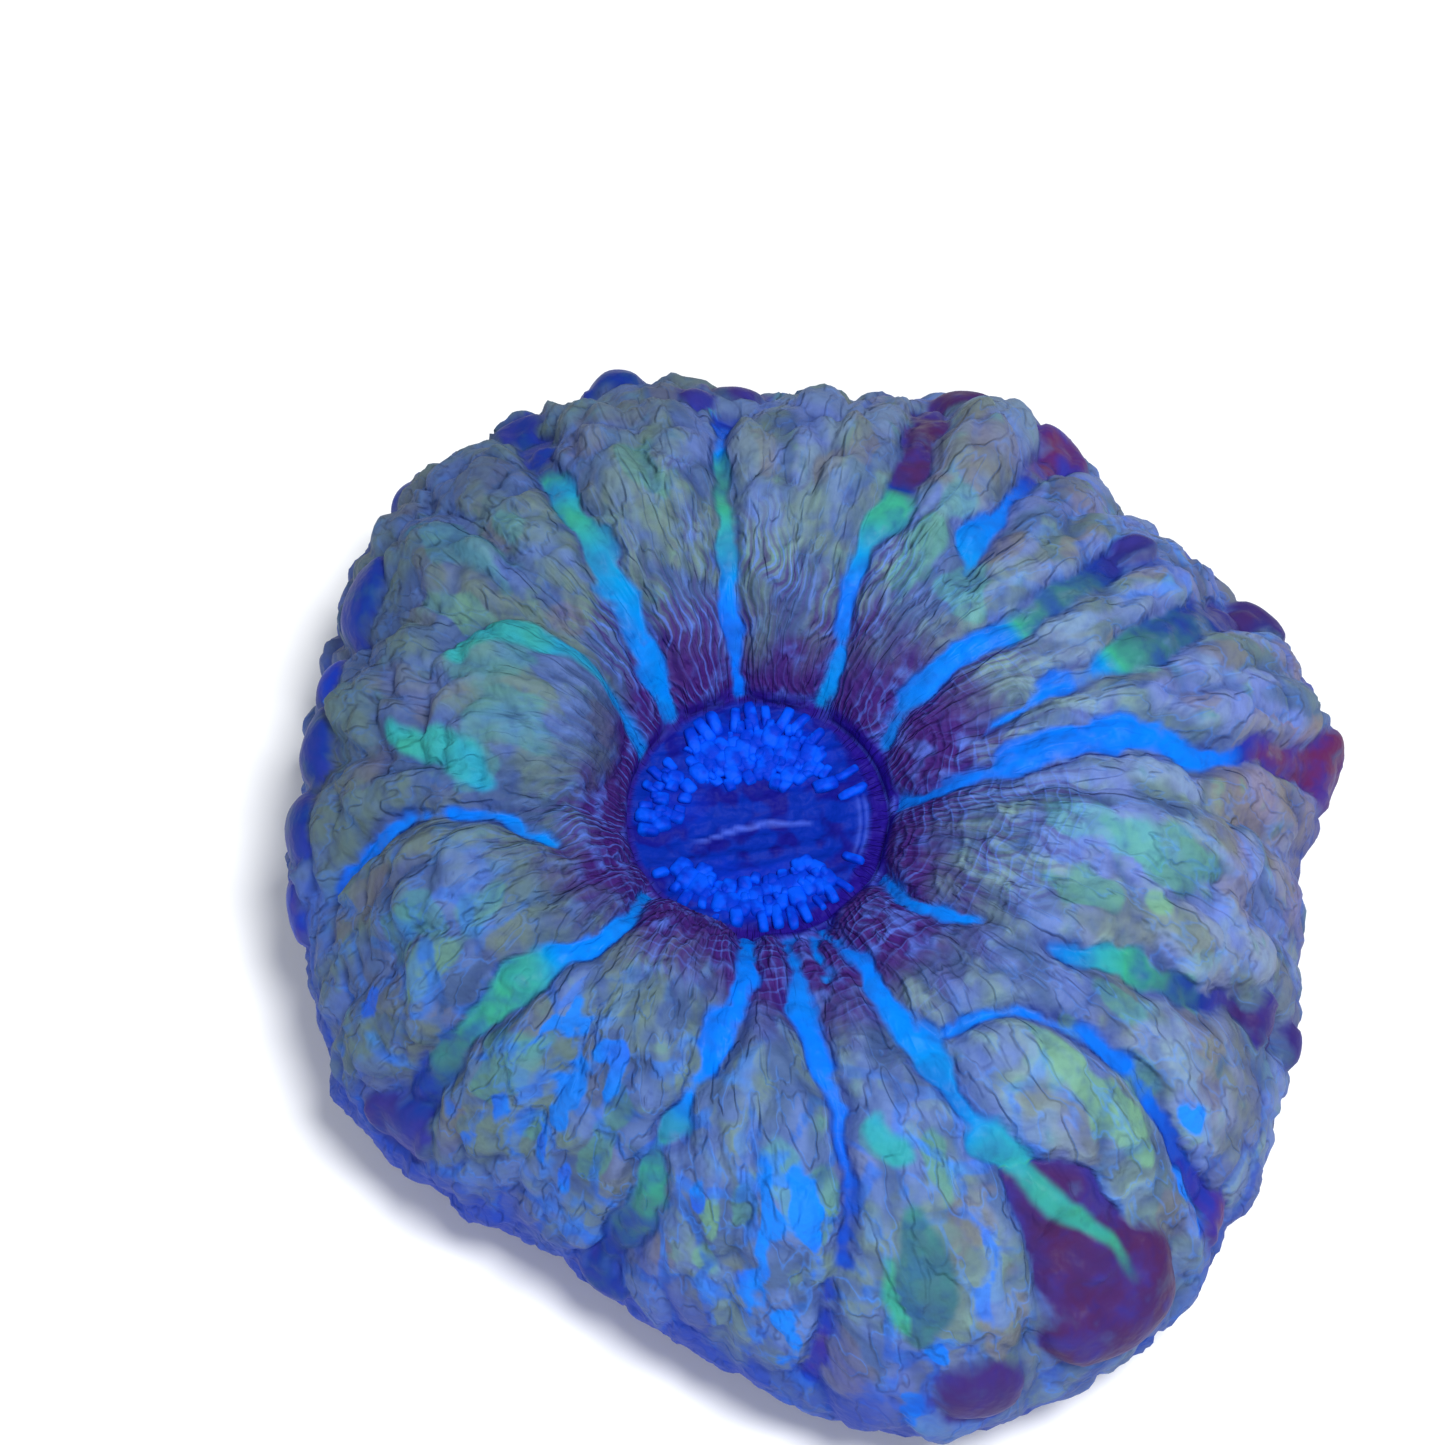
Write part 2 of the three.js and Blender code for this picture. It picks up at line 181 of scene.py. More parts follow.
def form_point(bearing, out):
    """The plain form's points, before its lobes, ribs and lumps are raised."""
    bearing, out = np.broadcast_arrays(np.asarray(bearing, float), np.asarray(out, float))
    share = out / DISC_OUT
    outside = np.maximum(out, DISC_OUT)
    reach = smooth_through(SECTION_OUT, SECTION_REACH, outside)
    radius = np.where(out < DISC_OUT, DISC_RADIUS * share,
                      DISC_RADIUS + reach * (outline_radius(bearing) - DISC_RADIUS))
    height = np.where(out < DISC_OUT, DISC_HEIGHT + DISC_DISH * share**2,
                      smooth_through(SECTION_OUT, SECTION_HEIGHT, outside))
    turn = np.radians(bearing)
    return np.stack([radius * np.cos(turn), radius * np.sin(turn), height], -1)


def unit(vectors):
    return vectors / np.linalg.norm(vectors, axis=-1, keepdims=True)


def form_frame(bearing, out):
    """Points of the form with the directions outward, around and straight off the surface."""
    bearing, out = np.broadcast_arrays(np.asarray(bearing, float), np.asarray(out, float))
    step = 0.002
    turn = np.radians(bearing)
    outward = unit(form_point(bearing, np.minimum(out + step, FOOT_OUT))
                   - form_point(bearing, np.maximum(out - step, 0)))
    around = np.stack([-np.sin(turn), np.cos(turn), 0 * turn], -1)
    around = unit(around - outward * (around * outward).sum(-1, keepdims=True))
    return form_point(bearing, out), outward, around, np.cross(outward, around)


widest = form_point(np.arange(0, 360, 5), 1.0)
print("widest line spans", np.round(np.ptp(widest, axis=0)[:2], 1), "mm")

# %% [markdown]
# ## A mesh of even triangles
#
# The surface starts at one point in the mouth and spreads out like the growth rings of a shell:
# each ring has four points more than the last. That keeps the triangles nearly even all over,
# which a plain polar grid with its crowded centre wouldn't do. The ring spacing is closer in
# the disc and the throat, where the detail is finest.

# %% Rings of points and the triangles between them
SECTORS = 4
RINGS = 220
RING_KEYS = [0, 40, 76, 106, 186, 220]
RING_OUTS = [0, 0.22, 0.4, 0.6, 1, 1.3]


def ring_triangles(rings):
    """Triangles between rings of 1, 4, 8, 12... points, facing up and out."""
    triangles = []
    for ring in range(1, rings + 1):
        sector, i = np.divmod(np.arange(SECTORS * ring), ring)
        first = 1 + SECTORS * ring * (ring - 1) // 2
        first_inside = 1 + SECTORS * (ring - 1) * (ring - 2) // 2 if ring > 1 else 0
        inside = max(SECTORS * (ring - 1), 1)
        outer = first + sector * ring + i
        outer_next = first + (sector * ring + i + 1) % (SECTORS * ring)
        inner = first_inside + (sector * (ring - 1) + i) % inside
        inner_next = first_inside + (sector * (ring - 1) + i + 1) % inside
        triangles.append(np.stack([outer, outer_next, inner], -1))
        between = i < ring - 1
        triangles.append(np.stack([outer_next, inner_next, inner], -1)[between])
    return np.concatenate(triangles)


ring_of = np.concatenate([[0]] + [np.full(SECTORS * k, k) for k in range(1, RINGS + 1)])
step_of = np.concatenate([[0]] + [np.arange(SECTORS * k) for k in range(1, RINGS + 1)])
bearing = 360 / SECTORS * step_of / np.maximum(ring_of, 1)
out = np.interp(ring_of, RING_KEYS, RING_OUTS)
points, outward, around, normal = form_frame(bearing, out)
triangles = ring_triangles(RINGS)
count = len(points)
print(count, "points and", len(triangles), "triangles")

# %% [markdown]
# ## Noise, so that nothing is straight
#
# Flesh has no ruled lines. Three scales of noise are worked out once at every point. Small steps
# to the side, also from noise, make the wandered points: all the distances to ribs, creases and
# patches are measured from those, so that every edge comes out uneven. One more kind of noise is
# laid out along the section, which stretches it into streaks that run outwards. The side steps
# start from a seed, which is set here so that every run gives the same coral.

# %% Noise at every point
SIDE_STEP_SEED = 11
SIDE_STEPS = [(3.6, 0.7, 4), (1.3, 0.16, 5)]
noise.seed_set(SIDE_STEP_SEED)


def shifted(seed):
    """A far-off place in the noise for each seed."""
    return Vector((seed * 17.3, seed * 5.1, seed * 9.7))


def grain(scale, seed, places=points):
    """Noise at every point, in lumps of about scale millimetres."""
    shift = shifted(seed)
    return np.array([noise.noise(Vector(place) / scale + shift) for place in places])


def side_steps(scale, size, seed):
    """Small steps in any direction, alike over about scale millimetres."""
    shift = shifted(seed)
    return size * np.array([noise.noise_vector(Vector(place) / scale + shift) for place in points])


def streaks(cells, length, seed):
    """Noise in streaks that run outward, as many round the coral as cells and length mm long."""
    wide = cells / (2 * math.pi)
    turn = np.arctan2(wandered[:, 1], wandered[:, 0])
    places = np.column_stack([wide * np.cos(turn), wide * np.sin(turn), arc / length + seed * 13.7])
    return np.array([noise.noise(Vector(place)) for place in places])


slow_grain = grain(6, 1)
mid_grain = grain(2.2, 2)
fine_grain = grain(0.9, 3)
calm_disc = (0.35 + 0.65 * np.clip((out - 0.24) / 0.2, 0, 1))[:, None]
wandered = points + sum(side_steps(*step) for step in SIDE_STEPS) * calm_disc
arc_outs = np.linspace(0, FOOT_OUT, 400)
arc_line = form_point(0.0, arc_outs)
arc_steps = np.linalg.norm(np.diff(arc_line, axis=0), axis=1)
arc = np.interp(out, arc_outs, np.concatenate([[0], np.cumsum(arc_steps)])) + mid_grain
broad_streaks = streaks(52, 9, 1)
thin_streaks = streaks(130, 4.5, 2)
print("three grains, side steps and two sets of streaks")

# %% [markdown]
# ## Ribs, streaks and creases
#
# Each rib is a smooth band in a furrow between two lobes, narrow and bright blue at the disc,
# wider and green on top, and dark purple at the rim. It is drawn as a short list of stops: the
# bearing, the out value, the width in millimetres and a tone. The tone is a place on one colour
# ramp that is set further down. Streaks are bands of colour alone, and creases are furrows alone.

# %% Stops of the ribs
PLUM_BLUE, INK, BLUE, AZURE, CYAN, TEAL, GREEN, PINE, INDIGO, PLUM = (
    0, 0.12, 0.25, 0.35, 0.45, 0.55, 0.65, 0.78, 0.88, 1)
RIBS = {
    "back_left": [
        (128.5, 0.24, 1.1, AZURE), (127.5, 0.31, 1.9, 0.33), (125.5, 0.4, 2.8, 0.38),
        (123.8, 0.48, 3, 0.47), (122.7, 0.55, 2.8, 0.6), (122, 0.6, 2.5, 0.64), (121.3, 0.65, 2.2, 0.5),
        (120.7, 0.69, 2.2, 0.6), (120, 0.73, 2, 0.85), (118.5, 0.79, 2.6, INDIGO),
        (118, 0.86, 2.6, INDIGO)],
    "back": [
        (98, 0.235, 1.1, BLUE), (97.5, 0.3, 1, BLUE), (97, 0.36, 1.5, 0.28), (96.8, 0.41, 1.5, AZURE),
        (96.5, 0.45, 1.4, 0.5), (96, 0.5, 1.8, 0.6), (96, 0.56, 1.6, 0.72), (96, 0.62, 1.2, 0.7),
        (95.5, 0.68, 0.9, 0.3), (94, 0.76, 1.4, INK)],
    "back_right": [
        (62.5, 0.24, 1.2, 0.42), (61.5, 0.29, 1.1, 0.36), (63, 0.34, 1, 0.3), (66, 0.42, 1.1, 0.28),
        (66.5, 0.47, 1.6, 0.45), (65.5, 0.52, 2.6, 0.63), (65, 0.57, 2.8, 0.68), (65, 0.6, 2.8, 0.95),
        (66, 0.68, 3, PLUM), (67, 0.75, 3.2, PLUM), (69, 0.86, 3, 0.95)],
    "right_shoulder": [
        (47, 0.53, 0.6, 0.42), (49.5, 0.57, 2.2, 0.36), (50.5, 0.61, 2.4, 0.32), (51, 0.68, 1.3, 0.27),
        (52, 0.75, 1.5, 0.15), (53, 0.82, 2.1, 0.03), (53.5, 0.88, 2.5, 0.03)],
    "right_back": [
        (28.5, 0.26, 1.1, AZURE), (33, 0.32, 1.4, 0.33), (34, 0.4, 2, 0.3), (32.5, 0.46, 2.2, 0.3),
        (31.7, 0.5, 2.2, 0.36), (31.5, 0.53, 2.4, 0.7), (32, 0.58, 2.7, 0.78), (33.5, 0.65, 2.7, 0.8),
        (34.5, 0.7, 1.9, 0.86), (36, 0.76, 1.6, 0.93)],
    "right_upper": [
        (12.5, 0.4, 0.4, 0.28), (15, 0.45, 1, 0.27), (17, 0.51, 1.8, 0.27), (18.5, 0.57, 1.8, 0.33),
        (20, 0.62, 2.8, 0.72), (21.5, 0.68, 3.4, 0.8), (23.5, 0.75, 3.4, 0.84), (26, 0.84, 3, 0.9),
        (27.5, 0.92, 3, 0.97)],
    "right": [
        (2.5, 0.25, 1.1, 0.3), (-0.5, 0.32, 0.9, 0.28), (1, 0.41, 1.5, 0.27), (4, 0.48, 2.3, 0.27),
        (6.5, 0.55, 3, 0.27), (6.5, 0.62, 3, 0.27), (6, 0.68, 2.4, 0.28), (4.5, 0.74, 1.8, 0.27),
        (6.5, 0.79, 1.5, 0.22), (8, 0.83, 2.2, 0.05), (9, 0.9, 2.8, PLUM_BLUE),
        (10.5, 0.98, 3.2, PLUM_BLUE)],
    "right_lower": [
        (329, 0.25, 1.2, 0.3), (323, 0.3, 0.8, 0.3), (319, 0.36, 1.2, 0.3), (320, 0.41, 1.4, 0.3),
        (323.5, 0.47, 0.8, 0.33)],
    "front_right_rim": [
        (325.5, 0.57, 1, 0.36), (328, 0.63, 1.4, 0.5), (331, 0.69, 2.5, 0.68), (332, 0.74, 2.7, 0.76),
        (334, 0.8, 1.9, 0.86), (336.5, 0.85, 1.8, 0.95), (339.5, 0.96, 2.4, 0.97)],
    "front_right_crease": [
        (303, 0.54, 0.7, 0.3), (309.5, 0.56, 0.8, 0.3), (314.5, 0.6, 1, 0.28), (318.5, 0.67, 1.1, 0.27),
        (320, 0.75, 1.2, 0.25), (319, 0.83, 1.3, 0.17), (319, 0.91, 1.6, 0.1), (320, 1, 2, 0.04)],
    "front_right": [
        (296.5, 0.245, 1, 0.3), (296.5, 0.31, 1, 0.3), (296, 0.4, 1.4, 0.28), (296, 0.48, 1.7, 0.3),
        (297.5, 0.54, 2.7, 0.35), (297.8, 0.58, 2.5, 0.42), (298, 0.62, 1, 0.4),
        (298.7, 0.655, 0.8, 0.4), (300, 0.69, 3, 0.53), (301.5, 0.73, 2.6, 0.55),
        (302, 0.75, 1.8, 0.56)],
    "front_right_end": [(301, 0.755, 3, 0.97), (303.5, 0.81, 6, PLUM), (304.5, 0.86, 7.4, PLUM)],
    "front_short_left": [
        (281.5, 0.26, 0.9, 0.3), (280.3, 0.32, 0.8, 0.3), (280, 0.38, 1.1, 0.3),
        (279.5, 0.43, 1.5, 0.3)],
    "front_short_right": [(291.5, 0.27, 0.9, 0.3), (288.5, 0.33, 0.8, 0.3), (287, 0.4, 1, 0.33)],
    "front": [
        (279.5, 0.45, 1.7, 0.3), (280, 0.5, 1.7, 0.27), (281, 0.56, 1.5, 0.27),
        (281.5, 0.62, 0.9, 0.26), (281, 0.7, 0.7, 0.2), (280.5, 0.77, 0.8, 0.16),
        (278, 0.86, 1.1, 0.13), (276.8, 0.92, 1.5, 0.1), (275.5, 0.99, 1.8, 0.1)],
    "front_left": [
        (265, 0.245, 1.3, 0.3), (267, 0.34, 1.3, 0.3), (267, 0.42, 1.5, 0.28), (264, 0.5, 2.4, 0.28),
        (262, 0.57, 1.8, 0.27), (260.3, 0.64, 1.5, 0.28), (259, 0.7, 1.5, 0.35),
        (257.7, 0.74, 2.4, 0.55), (256.8, 0.77, 2, 0.6), (256.2, 0.79, 1, 0.7),
        (255.8, 0.83, 2.6, 0.68), (254.5, 0.88, 3, 0.74), (252.5, 0.93, 3.2, 0.82), (250, 1, 2.6, 0.9)],
    "left_front": [
        (222.5, 0.26, 0.9, 0.36), (228, 0.35, 1.2, 0.34), (231.5, 0.45, 1.7, 0.32),
        (229.5, 0.52, 2.1, 0.3), (226.5, 0.57, 1.9, 0.33), (225, 0.62, 2.4, 0.6),
        (223.5, 0.68, 2.9, 0.64), (222.7, 0.76, 2.6, 0.67), (222, 0.81, 1.8, 0.76), (221, 0.86, 3, 0.8),
        (220, 0.9, 3.2, 0.88), (219.5, 0.97, 3.2, 0.93)],
    "left": [
        (201, 0.43, 0.7, 0.36), (198, 0.46, 0.9, 0.33), (193, 0.52, 1.1, 0.3), (190, 0.59, 1.2, 0.27),
        (188, 0.66, 1.2, 0.27), (187, 0.73, 1.4, 0.3), (188, 0.8, 1.6, 0.27), (190, 0.88, 1.4, 0.2)],
}
STREAKS = {
    "big_lobe_edge": [
        (157, 0.6, 3, 0.58), (151, 0.54, 2.8, 0.58), (149, 0.49, 2.4, 0.54), (146.5, 0.43, 2, 0.5),
        (147, 0.36, 1.8, 0.42), (147.5, 0.31, 1.4, 0.35), (149.5, 0.24, 1.2, 0.33)],
    "big_lobe_foot": [
        (171.5, 0.71, 1.6, 0.6), (175, 0.64, 2.8, 0.6), (179, 0.58, 2.2, 0.56), (184.5, 0.53, 1.4, 0.5)],
    "island_top": [(286.3, 0.63, 1.6, 0.56), (287.2, 0.68, 2, 0.58)],
    "island": [
        (288, 0.745, 1.6, 0.76), (287.5, 0.79, 4, 0.78), (286.5, 0.84, 4.6, 0.8),
        (285.7, 0.885, 2, 0.8)],
    "island_edge": [(283.7, 0.8, 0.8, 0.66), (284, 0.85, 1.9, 0.66), (285.3, 0.88, 1.4, 0.66)],
    "end_stripe": [
        (301.5, 0.745, 1.5, 0.58), (304, 0.815, 1.9, 0.62), (306.5, 0.865, 1.1, 0.66),
        (307.5, 0.9, 0.5, 0.8)],
}
print(len(RIBS), "ribs and", len(STREAKS), "streaks")

# %% Stops of the creases
CREASES = [
    [(109, 0.6), (108, 0.76), (110, 1)],
    [(81, 0.5), (79, 0.64), (78, 0.8), (79, 1)],
    [(139, 0.44), (137, 0.6), (135, 0.76), (135, 1)],
    [(150, 0.24), (144.5, 0.33), (142.5, 0.43), (145, 0.53), (151, 0.61), (160, 0.66), (169, 0.67),
     (177, 0.66)],
    [(152, 0.66), (154, 0.8), (154, 1)],
    [(192, 0.25), (188, 0.4), (183, 0.54), (178, 0.66), (173, 0.8), (172, 1)],
    [(205, 0.25), (212, 0.36), (214, 0.5), (210, 0.66), (205, 0.82), (204, 1)],
    [(244, 0.5), (240, 0.64), (238, 0.8), (236, 1)],
    [(271, 0.6), (268, 0.8), (266, 1)],
    [(293, 0.66), (295, 0.8), (297, 1)],
    [(312, 0.82), (313, 1)],
    [(331, 0.36), (334, 0.5), (345, 0.7), (350, 1)],
    [(354, 0.42), (356, 0.6), (358, 0.8), (360, 1)],
    [(24, 0.44), (26, 0.58), (29, 0.72)],
    [(42, 0.66), (44, 0.82), (44, 1)],
    [(13, 0.66), (17, 0.82), (19, 1)],
]
CREASES = [[(*stop, 0, 0) for stop in line] for line in CREASES]


def path_marks(stops, steps=5):
    """The stops with smooth steps between them."""
    stops = np.array(stops, float)
    ends = np.concatenate([stops[:1], stops, stops[-1:]])
    marks = [catmull_rom(*ends[i:i + 4], t / steps) for i in range(len(stops) - 1) for t in range(steps)]
    return np.array(marks + [stops[-1]])


def near_line(line, marks, reach, places=wandered):
    """For the mesh points near a line: their numbers, distance, and the line's values there."""
    box = ((places > line.min(0) - reach) & (places < line.max(0) + reach)).all(1)
    near = np.flatnonzero(box)
    place = places[near]
    distance = np.full(len(near), 1e9)
    values = np.zeros((len(near), marks.shape[1]))
    for start, end, first, last in zip(line, line[1:], marks, marks[1:]):
        along = end - start
        t = np.clip((place - start) @ along / (along @ along), 0, 1)[:, None]
        away = np.linalg.norm(place - start - t * along, axis=1)
        closer = away < distance
        distance[closer] = away[closer]
        values[closer] = (first + t * (last - first))[closer]
    return near, distance, values


print(len(CREASES), "creases")

# %% [markdown]
# ## Furrows and lobes
#
# Between two furrows the flesh is blown up like a cushion. The lobe value is 0 in a furrow and
# near 1 on top of a lobe. It is a product over all the lines, so that where lobes are narrow
# they stay lower, as real ones do. The rib itself is a low dome inside its furrow.

# %% Raise the lobes and the ribs
VALLEY_WIDTH = 1.15
RIB_DEPTH = 0.62
CREASE_DEPTH = 0.42
RIB_RISE = 0.4
RIB_SOFT = 0.6
STREAK_SOFT = 0.7
BULB_SOFT = 1.3
REACH = 9


def smooth_step(low, high, x):
    t = np.clip((x - low) / (high - low), 0, 1)
    return t * t * (3 - 2 * t)


def dome(x):
    return np.maximum(0, 1 - x * x)


def hump(x, middle, width):
    """1 in the middle and near 0 two widths away."""
    return np.exp(-((x - middle) / width) ** 2)


def facing(towards):
    """1 on the side of the coral at a bearing and -1 on the far side."""
    return np.cos(np.radians(bearing - towards))


def zone(first, full, last_full, last):
    """A belt of the surface by out value, with soft borders."""
    return smooth_step(first, full, out) * (1 - smooth_step(last_full, last, out))


class Band:
    """Cover, tone and height of bands of colour. The nearest band gives the tone."""

    def __init__(self):
        self.cover = np.zeros(count)
        self.tone = np.full(count, float(BLUE))
        self.nearest = np.full(count, 1e9)

    def lay(self, near, outside, tones, soft):
        """Lay a band on the points near it. Outside is the distance to its edge in mm."""
        self.cover[near] = np.maximum(self.cover[near], 1 - smooth_step(-soft, soft, outside))
        nearer = outside < self.nearest[near]
        self.nearest[near[nearer]] = outside[nearer]
        self.tone[near[nearer]] = tones[nearer]


valley_width = VALLEY_WIDTH * (0.55 + 0.45 * smooth_step(0.26, 0.5, out))
lobe = np.ones(count)
rib = Band()
streak = Band()
rib_height = np.zeros(count)
rib_edge = np.zeros(count)
rib_core = np.zeros(count)
disc_rim = [(b, DISC_OUT, 0, 0) for b in range(0, 361, 10)]
for stops in [disc_rim, *RIBS.values(), *CREASES]:
    marks = path_marks(stops)
    near, distance, values = near_line(form_point(marks[:, 0], marks[:, 1]), marks, REACH)
    half = values[:, 2] / 2 * (1 + 0.4 * slow_grain[near] + 0.3 * mid_grain[near])
    clear = np.maximum(distance - half, 0)
    depth = CREASE_DEPTH if stops in CREASES else RIB_DEPTH
    lobe[near] *= 1 - depth * np.exp(-clear / valley_width[near])
    if half.max() > 0:
        rib.lay(near, distance - half, values[:, 3], RIB_SOFT)
        rib_edge[near] = np.maximum(rib_edge[near], hump(distance - half, 0.1, 0.3))
        across_rib = dome(distance / np.maximum(half, 0.01))
        rib_core[near] = np.maximum(rib_core[near], smooth_step(0, 0.6, across_rib))
        height = RIB_RISE * half * across_rib
        rib_height[near] = np.maximum(rib_height[near], height * (1 + 0.5 * mid_grain[near]))
for stops in STREAKS.values():
    marks = path_marks(stops)
    near, distance, values = near_line(form_point(marks[:, 0], marks[:, 1]), marks, REACH)
    streak.lay(near, distance - values[:, 2] / 2, values[:, 3], STREAK_SOFT)
print("lobe value from", round(lobe.min(), 2), "to", round(lobe.max(), 2))

# %% [markdown]
# ## Swollen lobes and round rim bulbs
#
# Some lobes stand out far above the rest, and the ribs end in smooth dark bulbs on the rim. Both
# are domes with a place and a rise. The lobes are ovals with a half-width around and a half-length
# outward, the bulbs are round with a radius and a tone. The first lobe is the one like a ball.

# %% Raise the big lobes and the bulbs
MOUNDS = [
    (163, 0.46, 7.4, 8, 3.6), (203, 0.64, 6.2, 8.5, 2.4), (108, 0.64, 5.5, 9, 1.2),
    (81, 0.66, 5, 9, 1), (59.5, 0.73, 3.2, 6, 1.3), (350, 0.68, 5.5, 11, 1.5),
    (313.5, 0.69, 3.8, 10, 1.6), (270, 0.7, 5.5, 12, 1.6), (241, 0.52, 5.5, 8, 1.2),
    (230, 0.74, 4, 9, 1), (294, 0.83, 4.2, 8, 1.2), (142, 0.7, 3.6, 8, 1.4),
]
BULBS = [
    (149, 0.86, 3.7, 2, INDIGO), (159, 0.89, 2.5, 1.6, INK), (168.5, 0.89, 3.3, 1.8, INDIGO),
    (177.5, 0.92, 3.4, 1.7, INDIGO), (186, 0.97, 2.9, 1.3, INK), (131.5, 0.94, 2.2, 1.2, INDIGO),
    (106.5, 0.88, 2.8, 2.2, INDIGO), (118, 0.88, 2.3, 1.6, 0.9), (92.5, 0.83, 2.2, 1.4, 0.95),
    (97.5, 0.79, 1.6, 1, 0.93), (54, 0.9, 2.8, 1.8, 0.03), (35.5, 0.78, 1.8, 1.2, 0.93),
    (27, 0.94, 2.6, 2, 0.95), (11, 0.98, 3.6, 2.2, PLUM_BLUE), (338.5, 0.91, 2, 1.4, 0.95),
    (341, 0.99, 1.8, 1.2, 0.95), (319, 0.96, 2, 1.4, 0.04), (305, 0.92, 6, 2.3, PLUM),
    (290.5, 0.95, 3.5, 1.6, 0.97), (250, 1.02, 2.4, 1.4, INDIGO), (219.5, 0.96, 3.2, 1.6, 0.92),
    (66.5, 0.9, 2.6, 1.2, PLUM),
]
SWELL_OUT = [0.22, 0.25, 0.3, 0.36, 0.5, 0.7, 0.95, 1.06, 1.16, 1.24, 1.3]
SWELL_RISE = [1.6, 1.9, 2.1, 2.2, 2.4, 2.6, 2.4, 1.7, 0.8, 0, 0]
FULL_SWELL = 3
SWELL_MEAN = 0.6


def oval_distance(place_bearing, place_out, half_around, half_outward):
    """How far each point is from an oval's middle: 1 on its edge."""
    centre, out_way, around_way, up_way = form_frame(place_bearing, place_out)
    offset = wandered - centre
    return np.sqrt((offset @ around_way / half_around) ** 2 + (offset @ out_way / half_outward) ** 2
                   + (offset @ up_way / half_outward) ** 2)


everywhere = np.arange(count)
swell = np.interp(out, SWELL_OUT, SWELL_RISE)
strength = swell / FULL_SWELL
mound_height = np.zeros(count)
for place_bearing, place_out, half_around, half_outward, rise in MOUNDS:
    away = oval_distance(place_bearing, place_out, half_around, half_outward)
    mound_height = np.maximum(mound_height, rise * dome(away))
bulb_height = np.zeros(count)
bulb = np.zeros(count)
for place_bearing, place_out, radius, rise, tone in BULBS:
    away = oval_distance(place_bearing, place_out, radius, radius)
    bulb_height = np.maximum(bulb_height, rise * np.sqrt(dome(away)))
    bulb = np.maximum(bulb, 1 - smooth_step(0.85, 1.15, away))
    rib.lay(everywhere, (away - 1) * radius, np.full(count, float(tone)), BULB_SOFT)
print(len(MOUNDS), "big lobes and", len(BULBS), "bulbs")

# %% [markdown]
# ## Lumps all over the lobes
#
# From half-way out the flesh is pebbled with lumps of 2 to 4 millimetres, longer outwards than
# around, and pressed against each other. Seeds are set out unevenly on a golden-angle spiral. The
# difference of the distances to the nearest and the second nearest seed is zero on the border
# of two lumps and grows towards the middle of each one, so it gives the dome and the crease. A
# slow noise welds many neighbours together, and noise without its sign crumples them all: it has
# round tops and a sharp fold wherever it passes through zero. Where the streaks pass through zero
# the surface steps up, as the edge of a thin flake. The lobe like a ball is crumpled most.

# %% Seeds of the lumps and the distances to them
GOLDEN_ANGLE = 137.508
LUMPS = 560
LUMP_FROM = 0.36
LUMP_TO = 1.2
LUMP_STRETCH = 1.5
LUMP_RISE = 1.7
LUMP_SLOPE = 3.4
CRUMPLE_RISE = 0.55
FINE_CRUMPLE_RISE = 0.18
FLAKE_RISE = 0.16


def scatter(number, salt):
    """A fixed pseudo-random share between 0 and 1 for each number."""
    return np.modf(np.abs(np.sin(number * 12.9898 + salt * 78.233)) * 43758.5453)[0]


def even_outs(shares, low, high):
    """Out values that spread the shares evenly over the surface between low and high."""
    outs = np.linspace(low, high, 200)
    ring = form_point(0.0, outs)
    steps = np.linalg.norm(np.diff(ring, axis=0), axis=1) * np.hypot(ring[1:, 0], ring[1:, 1])
    area = np.concatenate([[0], np.cumsum(steps)])
    return np.interp(shares * area[-1], area, outs)


number = np.arange(LUMPS)
seed_bearing = number * GOLDEN_ANGLE + 9 * (scatter(number, 3) - 0.5)
seed_out = even_outs((number + 0.5) / LUMPS, LUMP_FROM, LUMP_TO) + 0.045 * (scatter(number, 4) - 0.5)
seed_point, seed_outward, seed_around, seed_normal = form_frame(seed_bearing, seed_out)
tree = kdtree.KDTree(LUMPS)
for i, place in enumerate(seed_point):
    tree.insert(place, i)
tree.balance()
nearest = np.array([[hit[1] for hit in tree.find_n(place, 6)] for place in wandered])
offset = wandered[:, None] - seed_point[nearest]
across = (offset * seed_around[nearest]).sum(-1)
along = (offset * seed_outward[nearest]).sum(-1) / LUMP_STRETCH
deep = (offset * seed_normal[nearest]).sum(-1)
reach = np.sqrt(across**2 + along**2 + deep**2)
order = np.argsort(reach, axis=1)
closest = np.take_along_axis(reach, order[:, :2], 1)
lump_gap = closest[:, 1] - closest[:, 0]
lump_number = np.take_along_axis(nearest, order[:, :1], 1)[:, 0]
lump_zone = zone(0.4, 0.6, 1.16, 1.26) * (1 - 0.9 * bulb)
apart = smooth_step(-0.25, 0.15, grain(5, 6))
lump_dome = 1 - (0.35 + 0.65 * apart) * (1 - np.clip(lump_gap / LUMP_SLOPE, 0, 1)) ** 2
lump_side = 0.75 + 0.3 * facing(110)
lump_height = LUMP_RISE * lump_side * (0.3 + 0.8 * scatter(lump_number, 1)) * lump_dome * lump_zone
crumple_zone = zone(0.3, 0.5, 1.14, 1.24) * (1 - 0.7 * bulb)
crumple = np.abs(grain(3, 7, wandered))
fine_crumple = np.abs(grain(1.3, 8, wandered))
flakes = FLAKE_RISE * (smooth_step(-0.07, 0.07, thin_streaks) + smooth_step(-0.07, 0.07, broad_streaks))
crumple_side = 0.8 + 0.3 * facing(150)
crumple_height = (CRUMPLE_RISE * crumple + FINE_CRUMPLE_RISE * fine_crumple) * crumple_side + flakes
ball_lobe = 1 - smooth_step(0.75, 1.15, oval_distance(*MOUNDS[0][:4]))
crumple_height *= crumple_zone * (1 + 0.6 * ball_lobe)
print("lumps stand up to", round(lump_height.max(), 2), "mm")

